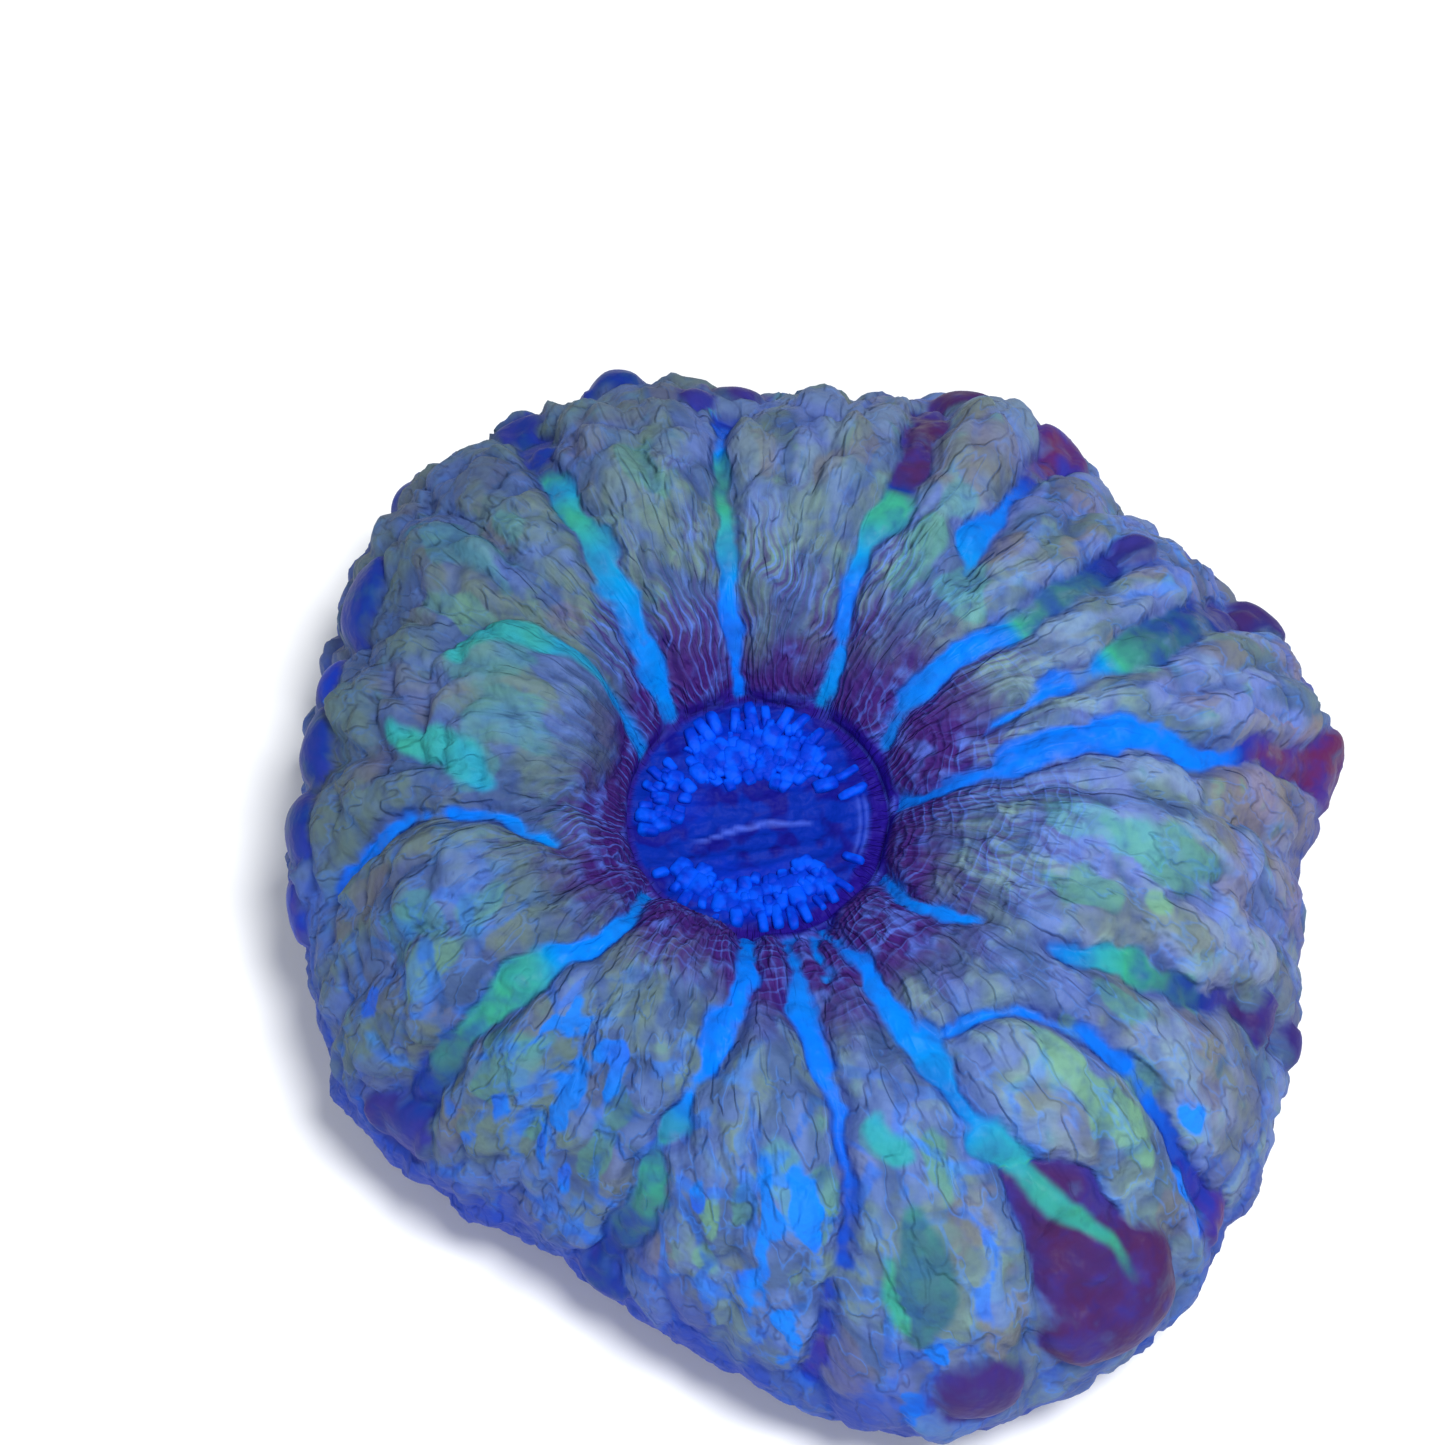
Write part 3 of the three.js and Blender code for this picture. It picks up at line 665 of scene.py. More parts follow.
# %% [markdown]
# ## The disc and the skin
#
# The oral disc is a shallow dish with a slit of a mouth. The skin everywhere has a fine uneven
# grain, which is noise at two scales, and shallow pleats run down into the throat. On the front
# and the right side the pleats are crossed by others, so that they make a net.

# %% Mouth, pleats and skin grain, then the finished points
MOUTH_LINE = np.array([(-7, -1.9), (-4.3, -1.6), (-1.3, -0.4), (1.4, 0.1), (4.1, 0.1)])
MOUTH_DEPTH = 0.5
PLEATS = 76
PLEAT_RISE = 0.16
NET_SPACING = 1.5
NET_RISE = 0.14

mouth_3d = np.column_stack([MOUTH_LINE, np.full(len(MOUTH_LINE), DISC_HEIGHT)])
near, mouth_away, _ = near_line(mouth_3d, np.zeros((len(mouth_3d), 1)), 4, points)
mouth_lip = np.zeros(count)
mouth_lip[near] = 1 - smooth_step(0.06, 0.3, mouth_away)
mouth_dip = np.zeros(count)
mouth_dip[near] = MOUTH_DEPTH * (hump(mouth_away, 0, 1.5) - 0.7 * hump(mouth_away, 0, 0.35))
fold_wave = np.sin(points[:, 1] * 4.2 - points[:, 0] * 0.7 + 3 * mid_grain + 1.5 * fine_grain)
disc_relief = 0.14 * fold_wave + 0.3 * mid_grain + 0.12 * fine_grain - mouth_dip
pleat_zone = zone(0.24, 0.3, 0.44, 0.6)
pleat_size = 0.5 + smooth_step(-0.2, 0.3, slow_grain)
pleat_turn = np.radians(bearing) * PLEATS + 8 * slow_grain + 4 * mid_grain
pleats = PLEAT_RISE * np.sin(pleat_turn) * pleat_size
net_side = np.interp(bearing, [0, 30, 60, 120, 190, 215, 240, 270, 330, 360],
                     [0.9, 0.6, 0.15, 0, 0.1, 0.3, 0.6, 0.8, 1, 0.9])
net_wave = np.sin(arc * 2 * math.pi / NET_SPACING + 4 * slow_grain + 2 * mid_grain)
pleats = (pleats + NET_RISE * net_wave * net_side) * pleat_zone * (1 - 0.8 * ball_lobe)
skin = (0.12 * mid_grain + 0.14 * fine_grain) * smooth_step(0.24, 0.4, out) * (1 - 0.7 * bulb)
on_lobe = lobe * (strength * mound_height + lump_height + pleats + crumple_height)
on_rib = np.maximum(rib_height, strength * bulb_height)
flesh_relief = swell * (lobe - SWELL_MEAN) + np.maximum(on_lobe, on_rib) + skin * (1 - 0.4 * rib.cover)
flesh_relief -= (0.35 * (CRUMPLE_RISE + FINE_CRUMPLE_RISE) + FLAKE_RISE) * crumple_zone + 0.4 * lump_zone
foot_fade = 1 - smooth_step(1.14, 1.24, out)
disc_fade = smooth_step(DISC_OUT - 0.015, DISC_OUT + 0.015, out)
relief = (disc_relief * (1 - disc_fade) + flesh_relief * disc_fade) * foot_fade
final = points + normal * relief[:, None]
final[:, 2] = np.maximum(final[:, 2], 0)
print("relief from", round(relief.min(), 1), "to", round(relief.max(), 1), "mm")

# %% [markdown]
# ## Where each colour goes
#
# The shader can't know about lobes and ribs, so the mesh carries them as named values on its
# points: how much rib, crease, throat and so on is at each one. Soft oval patches say where
# the flesh of a lobe turns mint, green, lime, tan or bright blue.

# %% Patches of colour: bearing, out value, half-width around and half-length outward
PATCHES = {
    "mint": [
        (157, 0.56, 3, 2.6), (173, 0.5, 2, 2.4), (182, 0.54, 1.4, 1.2), (140, 0.67, 1.4, 4.4),
        (132, 0.62, 1.2, 1.4), (206, 0.69, 1.5, 1.4), (211, 0.62, 1.2, 1.6), (273, 0.72, 1.2, 2.4),
        (44, 0.51, 1.8, 2.4), (347, 0.57, 1.2, 2.6), (346, 0.63, 1.3, 2.4), (320, 0.75, 1.3, 2.6),
        (286, 0.65, 1.2, 2), (20, 0.64, 1.5, 2.4), (233, 0.78, 1, 2.8), (56, 0.58, 1.1, 1.8)],
    "green": [
        (205, 0.75, 1.6, 1.7), (110, 0.59, 1.6, 2.2), (346, 0.69, 2.2, 3.6), (337, 0.59, 1.2, 2),
        (324, 0.67, 1, 2), (247, 0.83, 1.1, 3), (230, 0.78, 1.6, 3.2), (268, 0.79, 1, 1.8),
        (292, 0.69, 1.3, 2.2), (56, 0.5, 1.8, 3.2), (278, 0.74, 1, 2.6), (237, 0.85, 1, 1.6),
        (334, 0.78, 1, 1.4), (248, 0.76, 1, 1.6)],
    "lime": [
        (149, 0.64, 0.9, 3), (340, 0.69, 1, 1.4), (318, 0.65, 0.7, 1.2), (264, 0.82, 0.6, 2),
        (264, 0.88, 0.9, 1.6), (212, 0.74, 1.1, 2.8), (312, 0.66, 1.3, 3.4), (313.5, 0.74, 1.5, 4)],
    "tan": [
        (152, 0.72, 0.9, 1.6), (137, 0.85, 1.2, 3), (135, 0.63, 0.8, 1.4), (163, 0.71, 1.5, 2.8),
        (168, 0.63, 0.9, 2.1), (176, 0.75, 1.4, 1.8), (139, 0.47, 1.3, 1.4), (162, 0.37, 1.3, 1.5),
        (102, 0.77, 1, 2.2), (114, 0.69, 1.3, 2.8), (89, 0.64, 0.9, 1.7), (196, 0.87, 1.1, 2.1),
        (196, 0.79, 1.5, 2.2), (258, 0.91, 1.1, 1.6), (226, 0.91, 1.1, 2.4), (78, 0.6, 1, 1.9),
        (73, 0.64, 0.9, 1.6), (76, 0.7, 0.9, 1.6), (44, 0.6, 1.6, 2), (45, 0.79, 1.1, 3),
        (39, 0.71, 0.9, 2), (32, 0.75, 0.9, 2.4), (18, 0.76, 1, 2.4), (12, 0.7, 1, 1.6),
        (20, 0.89, 1.2, 3), (3, 0.9, 1.9, 2.8), (330, 0.81, 1.1, 2.6), (325, 0.84, 0.9, 1.6),
        (314, 0.9, 1.2, 2.2), (294, 0.77, 1.3, 2), (294, 0.88, 1.9, 2.4), (278, 0.94, 1.8, 2.6),
        (347, 0.81, 1.3, 2.4), (59.5, 0.7, 2.4, 5), (22, 0.64, 1.1, 1.7)],
    "blue": [
        (243, 0.73, 1.6, 1.8), (240, 0.78, 1, 3.4), (246, 0.7, 1, 2.4), (233, 0.84, 0.9, 2),
        (239, 0.87, 0.8, 2.2), (244, 0.89, 0.7, 2.4), (230, 0.9, 0.8, 1.7), (271, 0.8, 0.8, 4.4),
        (262, 0.8, 0.7, 1.4), (270, 0.89, 1, 3), (273, 0.93, 1, 3), (276, 0.75, 0.8, 3.2),
        (322, 0.83, 0.8, 2.5), (318, 0.9, 1.3, 3.4), (284, 0.96, 1, 1.7), (287, 0.9, 0.8, 1.4),
        (50, 0.59, 1.2, 1.7), (208, 0.85, 1, 1.3), (224, 0.62, 0.8, 1.8), (234, 0.7, 0.7, 1.8),
        (238, 0.66, 1, 1.6)],
}


def patch_cover(ovals):
    """How much of a colour's patches lies on each point, with uneven soft edges."""
    cover = np.zeros(count)
    for place_bearing, place_out, half_around, half_outward in ovals:
        away = oval_distance(place_bearing, place_out, half_around, half_outward)
        away = away * (1 + 0.5 * mid_grain + 0.3 * slow_grain) + 0.5 * thin_streaks
        cover = np.maximum(cover, 1 - smooth_step(0.55, 1.45, away))
    return cover


covers = {name: patch_cover(ovals) for name, ovals in PATCHES.items()}
print({name: int(cover.sum()) for name, cover in covers.items()})

# %% The values that the shader reads
THROAT_BEARINGS = [-4, 22, 61, 88, 108, 135, 163, 196, 234, 253, 285, 315, 336, 356]
THROAT_EDGE = [0.37, 0.44, 0.36, 0.35, 0.37, 0.33, 0.32, 0.41, 0.49, 0.46, 0.5, 0.45, 0.38, 0.37]
DISC_BEARINGS = [0, 30, 60, 90, 180, 240, 270, 300, 330, 360]
DISC_EDGE = [0.193, 0.2, 0.215, 0.222, 0.215, 0.212, 0.2, 0.192, 0.19, 0.193]
throat_edge = np.interp(bearing, THROAT_BEARINGS, THROAT_EDGE) + 0.06 * slow_grain + 0.05 * mid_grain
pleat_reach = smooth_step(0.235, 0.26, out) * (1 - smooth_step(0.42, 0.6, out + 0.1 * slow_grain))
disc_edge = np.interp(bearing, DISC_BEARINGS, DISC_EDGE) + 0.004 * fine_grain
disc_radius_here = np.hypot(points[:, 0], points[:, 1])
signed_bearing = (bearing + 180) % 360 - 180
arc_window = smooth_step(-26, -18, signed_bearing) * (1 - smooth_step(8, 18, signed_bearing))
arcs = sum(1 - smooth_step(0.02, 0.18, np.abs(disc_radius_here - radius)) for radius in (7.9, 8.6))
inner_end = hump(lobe, 0.55, 0.06) * (1 - smooth_step(0.28, 0.36, out)) * (out > DISC_OUT)
trough_side = np.interp(bearing, [0, 40, 70, 255, 285, 360], [1, 1, 0.75, 0.75, 1, 1])
tooth_side = np.maximum(np.clip((np.abs(np.sin(np.radians(bearing + 4))) - 0.62) * 4, 0, 1),
                        0.8 * hump(bearing, 168, 18))
tooth_radius = smooth_step(3.2, 4.6, disc_radius_here) * (1 - smooth_step(8.2, 9.2, disc_radius_here))
blue_side = np.clip(0.3 + 0.75 * facing(250), 0.12, 1) + 0.62 * hump(signed_bearing, 32, 34)
outer_part = smooth_step(0.45, 0.75, out)
# Several of these values only say where shade and highlights are painted: on the rib sides and edges, in
# the furrows, hollows and folds, in the trough round the disc, on the rim, the slopes turned from the
# light and the underside, and on the lump tops.
VALUES = {
    "rib": rib.cover,
    "tone": rib.tone,
    "core": np.clip(rib_core + bulb, 0, 1),
    "streak": streak.cover,
    "streak_tone": streak.tone,
    "edge": rib_edge * smooth_step(0.26, 0.4, out) * (1 - bulb),
    "furrow": (1 - smooth_step(0.2, 0.65, lobe)) * smooth_step(0.3, 0.45, out),
    "groove_shade": (1 - smooth_step(0.12, 0.34, lobe)) * (1 - rib.cover) * smooth_step(0.225, 0.24, out),
    "crease": (1 - smooth_step(0.1, 1.0, lump_gap + 0.5 * mid_grain)) * lump_zone,
    "relief_shade_and_highlight": np.clip((lump_height + crumple_height + 2 * pleats) / 1.6, 0, 1) * (0.6 + 0.4 * lobe),
    "shade": (0.5 - 0.5 * facing(335)) * outer_part,
    "inner_shade": (0.5 - 0.5 * facing(35)) * (1 - smooth_step(0.5, 0.66, out)),
    "fold": (1 - smooth_step(0.0, 0.12, crumple)) * crumple_zone,
    "fine_fold": (1 - smooth_step(0.0, 0.1, fine_crumple)) * crumple_zone,
    "blueness": blue_side,
    "olive": 0.5 + 0.5 * facing(165),
    "warm": hump(signed_bearing, 8, 22) * smooth_step(0.7, 0.86, out),
    "lilac": 0.4 * np.clip(facing(30) + 0.2, 0, 1) * smooth_step(0.45, 0.7, out),
    "lump_tone": scatter(lump_number, 5),
    "broad_streaks": broad_streaks,
    "thin_streaks": thin_streaks,
    "outer": outer_part,
    "throat": 1 - smooth_step(throat_edge - 0.07, throat_edge + 0.07, out),
    "pleat": pleat_reach * (1 - 0.8 * ball_lobe),
    "net": net_side,
    "disc": 1 - smooth_step(-0.004, 0.006, out - disc_edge),
    "lines": np.maximum(mouth_lip, arcs * arc_window * (out < DISC_OUT)),
    "inner_end": inner_end,
    "trough": (1 - smooth_step(0.222 + 0.02 * trough_side, 0.235 + 0.03 * trough_side, out)) * trough_side,
    "toothed": tooth_side * tooth_radius,
    "rim": smooth_step(0.86, 1.04, out + 0.06 * slow_grain + 0.05 * mid_grain),
    "under": smooth_step(1.12, 1.24, out + 0.04 * mid_grain),
    "edge_shade": smooth_step(0.9, 1.12, out + 0.05 * slow_grain),
    "arc": arc,
    "smooth": np.clip(bulb + 0.7 * ball_lobe, 0, 1),
    "clouds": 0.5 + 0.42 * (grain(5, 11) + 0.4 * mid_grain),
    "small_clouds": 0.3 + 0.42 * (grain(1.9, 12) + 0.5 * fine_grain),
    **covers,
}
print(len(VALUES), "values on each point")

# %% Build the mesh
foot_ring = 1 + SECTORS * RINGS * (RINGS - 1) // 2 + np.arange(SECTORS * RINGS)
hub = count
cap = np.stack([np.roll(foot_ring, -1), foot_ring, np.full(len(foot_ring), hub)], -1)
all_points = np.concatenate([final, [[0, 0, 0]]]) * MM
all_triangles = np.concatenate([triangles, cap])
is_cut = np.arange(len(all_triangles)) >= len(triangles)
coral_mesh = bpy.data.meshes.new("coral_flesh")
coral_mesh.from_pydata(all_points.tolist(), [], all_triangles.tolist())
coral_mesh.polygons.foreach_set("use_smooth", ~is_cut)
coral_mesh.polygons.foreach_set("material_index", is_cut.astype(np.int32))
for name, value in VALUES.items():
    carrier = coral_mesh.attributes.new(name, "FLOAT", "POINT")
    carrier.data.foreach_set("value", np.append(value, value[-1]).astype(np.float32))
coral_mesh.update()
coral_flesh = placed("coral_flesh", coral_mesh)
print(len(all_triangles), "triangles in the flesh")

# %% [markdown]
# ## Teeth of the oral disc
#
# Blunt bright teeth stand on the inner ends of the skeleton's walls. They lie in spokes, thick
# above and below the mouth and sparse on its sides. Each is a rounded block: a ball whose sines
# and cosines are raised to a low power, which squares it off without hard edges.

# %% Rows of teeth: first and last bearing, count, radius, width, length and rise
TOOTH_ROWS = [
    (54, 132, 9, 8.7, 0.95, 2.3, 0.55), (44, 140, 12, 7.2, 1.3, 1.7, 0.5),
    (42, 142, 11, 6, 1.25, 1.6, 0.5), (44, 138, 10, 4.9, 1.1, 1.4, 0.4),
    (52, 130, 7, 4, 0.8, 1.1, 0.35), (142, 192, 6, 8.5, 0.95, 1.7, 0.5),
    (144, 188, 5, 7.3, 1.1, 1.4, 0.5), (148, 184, 4, 6.2, 1, 1.2, 0.4),
    (10, 38, 2, 7.9, 0.7, 2.2, 0.35), (26, 48, 3, 6.5, 0.9, 1.7, 0.4),
    (212, 322, 14, 7.3, 1.25, 1.6, 0.5), (222, 320, 12, 6.2, 1.2, 1.4, 0.4),
    (256, 322, 8, 5.2, 0.9, 1.1, 0.4), (268, 322, 7, 8.6, 0.75, 1.9, 0.45),
    (208, 264, 6, 8.5, 0.9, 1.5, 0.5), (332, 340, 1, 8, 0.6, 1.7, 0.35),
    (48, 136, 16, 7.9, 0.6, 0.9, 0.5), (44, 140, 18, 5.5, 0.6, 0.8, 0.5),
    (216, 322, 18, 6.8, 0.6, 0.8, 0.5), (146, 188, 7, 7.9, 0.6, 0.8, 0.45),
]
TOOTH_RINGS = 7
TOOTH_SIDES = 14


def squared(x, power):
    return np.sign(x) * np.abs(x) ** power


def rounded_block():
    """Points and triangles of a ball squared off to a block, one unit to each side."""
    latitudes = np.linspace(-math.pi / 2, math.pi / 2, TOOTH_RINGS + 2)[1:-1]
    longitudes = np.arange(TOOTH_SIDES) / TOOTH_SIDES * 2 * math.pi
    lat, lon = np.meshgrid(latitudes, longitudes, indexing="ij")
    shell = np.stack([squared(np.cos(lat), 0.5) * squared(np.cos(lon), 0.5),
                      squared(np.cos(lat), 0.5) * squared(np.sin(lon), 0.5),
                      squared(np.sin(lat), 0.8)], -1).reshape(-1, 3)
    block_points = np.concatenate([shell, [(0, 0, -1), (0, 0, 1)]])
    faces = []
    for row in range(TOOTH_RINGS - 1):
        for side in range(TOOTH_SIDES):
            a = row * TOOTH_SIDES + side
            b = row * TOOTH_SIDES + (side + 1) % TOOTH_SIDES
            faces += [(a, b, b + TOOTH_SIDES), (a, b + TOOTH_SIDES, a + TOOTH_SIDES)]
    south, north = len(shell), len(shell) + 1
    top = (TOOTH_RINGS - 1) * TOOTH_SIDES
    for side in range(TOOTH_SIDES):
        after = (side + 1) % TOOTH_SIDES
        faces += [(after, side, south), (top + side, top + after, north)]
    return block_points, np.array(faces)


block_points, block_faces = rounded_block()
tooth_points = []
tooth_faces = []
for first, last, teeth, radius, width, length, rise in TOOTH_ROWS:
    for k in range(teeth):
        tooth = len(tooth_points) + 1.0
        shares = [scatter(np.array([tooth]), salt)[0] for salt in (7, 8, 9, 10)]
        wobble = shares[0] - 0.5
        drift = shares[1] - 0.5
        size = 0.75 + 0.5 * shares[2]
        lean_share = shares[3] - 0.5
        tooth_bearing = first + (last - first) * (k + 0.5) / teeth + 24 / radius * wobble
        tooth_out = DISC_OUT * (radius + 0.7 * drift) / DISC_RADIUS
        centre, out_way, around_way, up_way = form_frame(tooth_bearing, tooth_out)
        lean = unit(out_way + 0.7 * lean_share * around_way)
        across_way = np.cross(up_way, lean)
        bend = 0.25 * lean_share * block_points[:, :1] ** 2
        shape = (block_points[:, :1] * lean * length * size / 2
                 + (block_points[:, 1:2] + bend) * across_way * width * size / 2
                 + block_points[:, 2:] * up_way * rise * size)
        tooth_faces.append(block_faces + len(block_points) * len(tooth_points))
        uneven_shape = [0.12 * noise.noise_vector(Vector(place) / 0.7) for place in centre + shape]
        tooth_points.append(centre + shape + np.array(uneven_shape))
teeth_mesh = bpy.data.meshes.new("septal_teeth")
teeth_places = np.concatenate(tooth_points) * MM
teeth_mesh.from_pydata(teeth_places.tolist(), [], np.concatenate(tooth_faces).tolist())
teeth_mesh.polygons.foreach_set("use_smooth", np.ones(len(teeth_mesh.polygons), bool))
teeth_mesh.update()
septal_teeth = placed("septal_teeth", teeth_mesh)
print(len(tooth_points), "teeth")

# %% [markdown]
# ## Finishes
#
# A material is a tree of small nodes. Written out one by one they hide the idea, so a socket is
# wrapped in a class that knows plus, minus and times. Then 1 - mask is a line of Python, and
# Blender gets the nodes for it.

# %% A node socket that does sums
WET_SHINE = 0.05


class Value:
    """A number or colour that a node gives out."""

    def __init__(self, finish, socket):
        self.finish = finish
        self.socket = socket

    def __add__(self, other):
        return self.finish.maths("ADD", self, other)

    def __sub__(self, other):
        return self.finish.maths("SUBTRACT", self, other)

    def __rsub__(self, other):
        return self.finish.maths("SUBTRACT", other, self)

    def __mul__(self, other):
        return self.finish.maths("MULTIPLY", self, other)

    __radd__ = __add__
    __rmul__ = __mul__


class Finish:
    """A material, built from expressions."""

    def __init__(self, name):
        self.material = bpy.data.materials.new(name)
        self.material.use_nodes = True
        self.tree = self.material.node_tree
        self.shader = self.tree.nodes["Principled BSDF"]
        self.colour = None

    def node(self, kind, settings, values, given=0):
        """Any node: its settings are set first, then the values or links of its sockets."""
        made = self.tree.nodes.new(kind)
        for name, setting in settings.items():
            if name == "stops":
                for i, (place, colour) in enumerate(setting):
                    if i > 1:
                        made.color_ramp.elements.new(place)
                    made.color_ramp.elements[i].position = place
                    made.color_ramp.elements[i].color = (*colour, 1)
            else:
                setattr(made, name, setting)
        for name, value in values.items():
            self.give(made.inputs[name], value)
        return Value(self, made.outputs[given])

    def maths(self, operation, *values):
        return self.node("ShaderNodeMath", {"operation": operation}, dict(enumerate(values)))

    def give(self, socket, value):
        if isinstance(value, Value):
            self.tree.links.new(value.socket, socket)
        elif socket.type == "RGBA":
            socket.default_value = (*value, 1)
        else:
            socket.default_value = value

    def here(self):
        """The place on the piece itself, in metres."""
        return self.node("ShaderNodeTexCoord", {}, {}, "Object")

    def plan(self, place):
        """The x, the y and the turn of a place, as seen from above."""
        x = self.node("ShaderNodeSeparateXYZ", {}, {0: place}, "X")
        y = Value(self, x.socket.node.outputs["Y"])
        return x, y, self.maths("ARCTAN2", y, x)

    def carried(self, name):
        """A value that the mesh carries on its points."""
        return self.node("ShaderNodeAttribute", {"attribute_name": name}, {}, "Fac")

    def mix(self, share, first, second):
        return self.node("ShaderNodeMix", {"data_type": "RGBA"}, {0: share, 6: first, 7: second}, 2)

    def speckle(self, place, scale, detail=2.0, rough=0.5):
        """Noise from 0 to 1, in lumps of about 1 / scale metres."""
        return self.node("ShaderNodeTexNoise", {},
                         {"Vector": place, "Scale": scale, "Detail": detail, "Roughness": rough}, "Fac")

    def between(self, low, high, value):
        """0 below low, 1 above high and smooth in between."""
        return self.node("ShaderNodeMapRange", {"interpolation_type": "SMOOTHSTEP"},
                         {"Value": value, "From Min": low, "From Max": high}, "Result")

    def lay_over(self, share, paint):
        """Lay a paint over the colour so far, by its share."""
        self.colour = self.mix(share, self.colour, paint)

    def wear(self, roughness, height, deep, strength=0.7):
        """Give the shader its colour and roughness, and a bump so many metres deep."""
        bump_values = {"Strength": strength, "Distance": deep, "Height": height}
        bump = self.node("ShaderNodeBump", {}, bump_values, "Normal")
        for name, value in (("Base Color", self.colour), ("Roughness", roughness), ("Normal", bump)):
            self.give(self.shader.inputs[name], value)

    def glow(self, strength):
        """A weak light of its own in place of most of the shine."""
        for name, value in (("Emission Color", self.colour), ("Emission Strength", strength),
                            ("Specular IOR Level", WET_SHINE)):
            self.give(self.shader.inputs[name], value)


def paint(red, green, blue):
    """A colour read as 0 to 255, in the linear numbers that a shader wants."""
    shares = [v / 255 for v in (red, green, blue)]
    return tuple(v / 12.92 if v <= 0.04045 else ((v + 0.055) / 1.055) ** 2.4 for v in shares)


print("maths on sockets is ready")

# %% [markdown]
# ## The flesh
#
# Lobes are lavender-grey and olive in clouds, with tan, mint, green and lime patches, and more
# lilac on the right. Thin skin in the creases glows royal blue, most of all at the front left. The
# rim is painted darker, partly its own deep blue and partly painted shade, and the slopes that turn
# away from the light get painted shade. Painted shade also lies in the furrows, the folds, the
# hollows between lumps, along the rib edges and sides, in the trough round the disc and on the
# underside; painted highlights lie on the lump tops and the flake steps. The throat is dark plum
# with fine light pleats. The ribs take their colours from one ramp, which runs from plum by blue,
# green and indigo back to plum.

# %% Colours of the lobes
LAVENDER = paint(92, 118, 176)
SLATE = paint(74, 98, 142)
OLIVE = paint(102, 126, 106)
PALE = paint(120, 152, 146)
SHADOW = paint(38, 56, 96)
MINT = paint(82, 158, 156)
LEAF = paint(82, 142, 128)
LIME = paint(106, 158, 126)
TAN = paint(124, 122, 116)
BROWN = paint(108, 92, 106)
RUST = paint(150, 100, 104)
ROYAL = paint(30, 94, 226)
# The pale blue of the painted highlights on the flake steps.
HIGHLIGHT_BLUE = paint(64, 132, 236)
SKY = paint(2, 123, 238)
LILAC = paint(120, 132, 208)
DEEP = paint(30, 56, 160)
NIGHT = paint(18, 30, 112)
WINE = paint(58, 24, 104)
MAUVE = paint(84, 124, 230)
DISC_BLUE = paint(4, 38, 150)
DISC_SHADE = paint(16, 18, 122)
TOOTH_BED = paint(2, 40, 170)
TROUGH = paint(30, 14, 122)
LIP_BLUE = paint(84, 112, 228)
FLAKES_AROUND = 17
FLAKES_A_MM = 0.24
PLEAT_LINES = 120
NET_LINES_A_METRE = 6500
RIB_ROUGHNESS = 0.42

flesh = Finish("coral_flesh")
mix = flesh.mix
between = flesh.between
carried = flesh.carried
lay_over = flesh.lay_over
place = flesh.here()
clouds = carried("clouds")
specks = flesh.speckle(place, 950, 1.5, 0.6)
small_clouds = carried("small_clouds") + specks * 0.4
uneven = small_clouds - 0.5
patchy = between(0.4, 0.6, clouds)
flat_x, flat_y, turn = flesh.plan(place)
spread = flesh.maths("SQRT", flat_x * flat_x + flat_y * flat_y) + 0.0001
flake_cell = {0: flesh.maths("DIVIDE", flat_x, spread) * FLAKES_AROUND,
              1: flesh.maths("DIVIDE", flat_y, spread) * FLAKES_AROUND,
              2: carried("arc") * FLAKES_A_MM}
flake_place = flesh.node("ShaderNodeCombineXYZ", {}, flake_cell)
flake = flesh.speckle(flake_place, 1, 2, 0.55)
lump_tone = carried("lump_tone")
outer = carried("outer")
broad = carried("broad_streaks")
thin = carried("thin_streaks")
olive_side = carried("olive")
flesh.colour = mix(between(0.35, 0.65, clouds + thin * 0.3), SLATE, LAVENDER)
olive_share = between(-0.35, 0.25, broad + uneven * 1.2 + (lump_tone - 0.5) * 0.4)
lay_over(olive_share * (0.4 + olive_side * 0.45 + outer * 0.15), OLIVE)
pale_share = between(0.0, 0.5, thin * 0.6 + broad * 0.6 + uneven * 1.2) * (1 - olive_side)
lay_over(pale_share * 0.75, PALE)
tan_share = between(0.66, 0.82, lump_tone + uneven * 0.3) * outer
dusty = mix(small_clouds, TAN, BROWN)
lay_over(tan_share * 0.3, dusty)
lay_over(carried("lilac") * between(0.3, 0.6, clouds + thin * 0.5), LILAC)
warm_share = carried("warm") * between(0.3, 0.6, lump_tone + uneven * 0.6)
lay_over(warm_share * 0.7, mix(lump_tone, RUST, TAN))
print("lobe colours mixed")

# %% Patches and creases, with painted shade and painted highlights on the relief
PATCH_PAINTS = [("tan", dusty, 0.5), ("green", LEAF, 0.72), ("mint", MINT, 0.52), ("lime", LIME, 0.8)]
for patch, patch_paint, most in PATCH_PAINTS:
    share = between(0.1, 0.7, carried(patch) + uneven * 0.8)
    lay_over(share * most, patch_paint)
blueness = carried("blueness")
strong_blue = between(0.5, 0.95, blueness)
crease_wet = between(0.3, 0.7, clouds * 0.5 + thin * 0.4 + 0.25 + uneven)
crease_share = between(0.15, 0.75, carried("crease") + uneven * 0.6) * crease_wet
crease_blue = crease_share * (0.12 + strong_blue * 0.5) * (outer * 0.7 + 0.3)
lay_over(crease_blue, mix(small_clouds, ROYAL, SKY))
vein_share = between(0.1, 0.35, thin + uneven * 0.9) * between(-0.25, 0.2, broad) * outer
lay_over(vein_share * (0.06 + strong_blue * 0.35), mix(clouds, ROYAL, SKY))
# Painted shade: the fold lines of the crumpled skin are darkened with deep blue.
fold_shade = carried("fold") * 0.18 + carried("fine_fold") * 0.08
lay_over(fold_shade, DEEP)
furrow_share = carried("furrow") * between(0.3, 0.6, small_clouds)
lay_over(furrow_share * (0.1 + blueness * outer * 0.6), ROYAL)
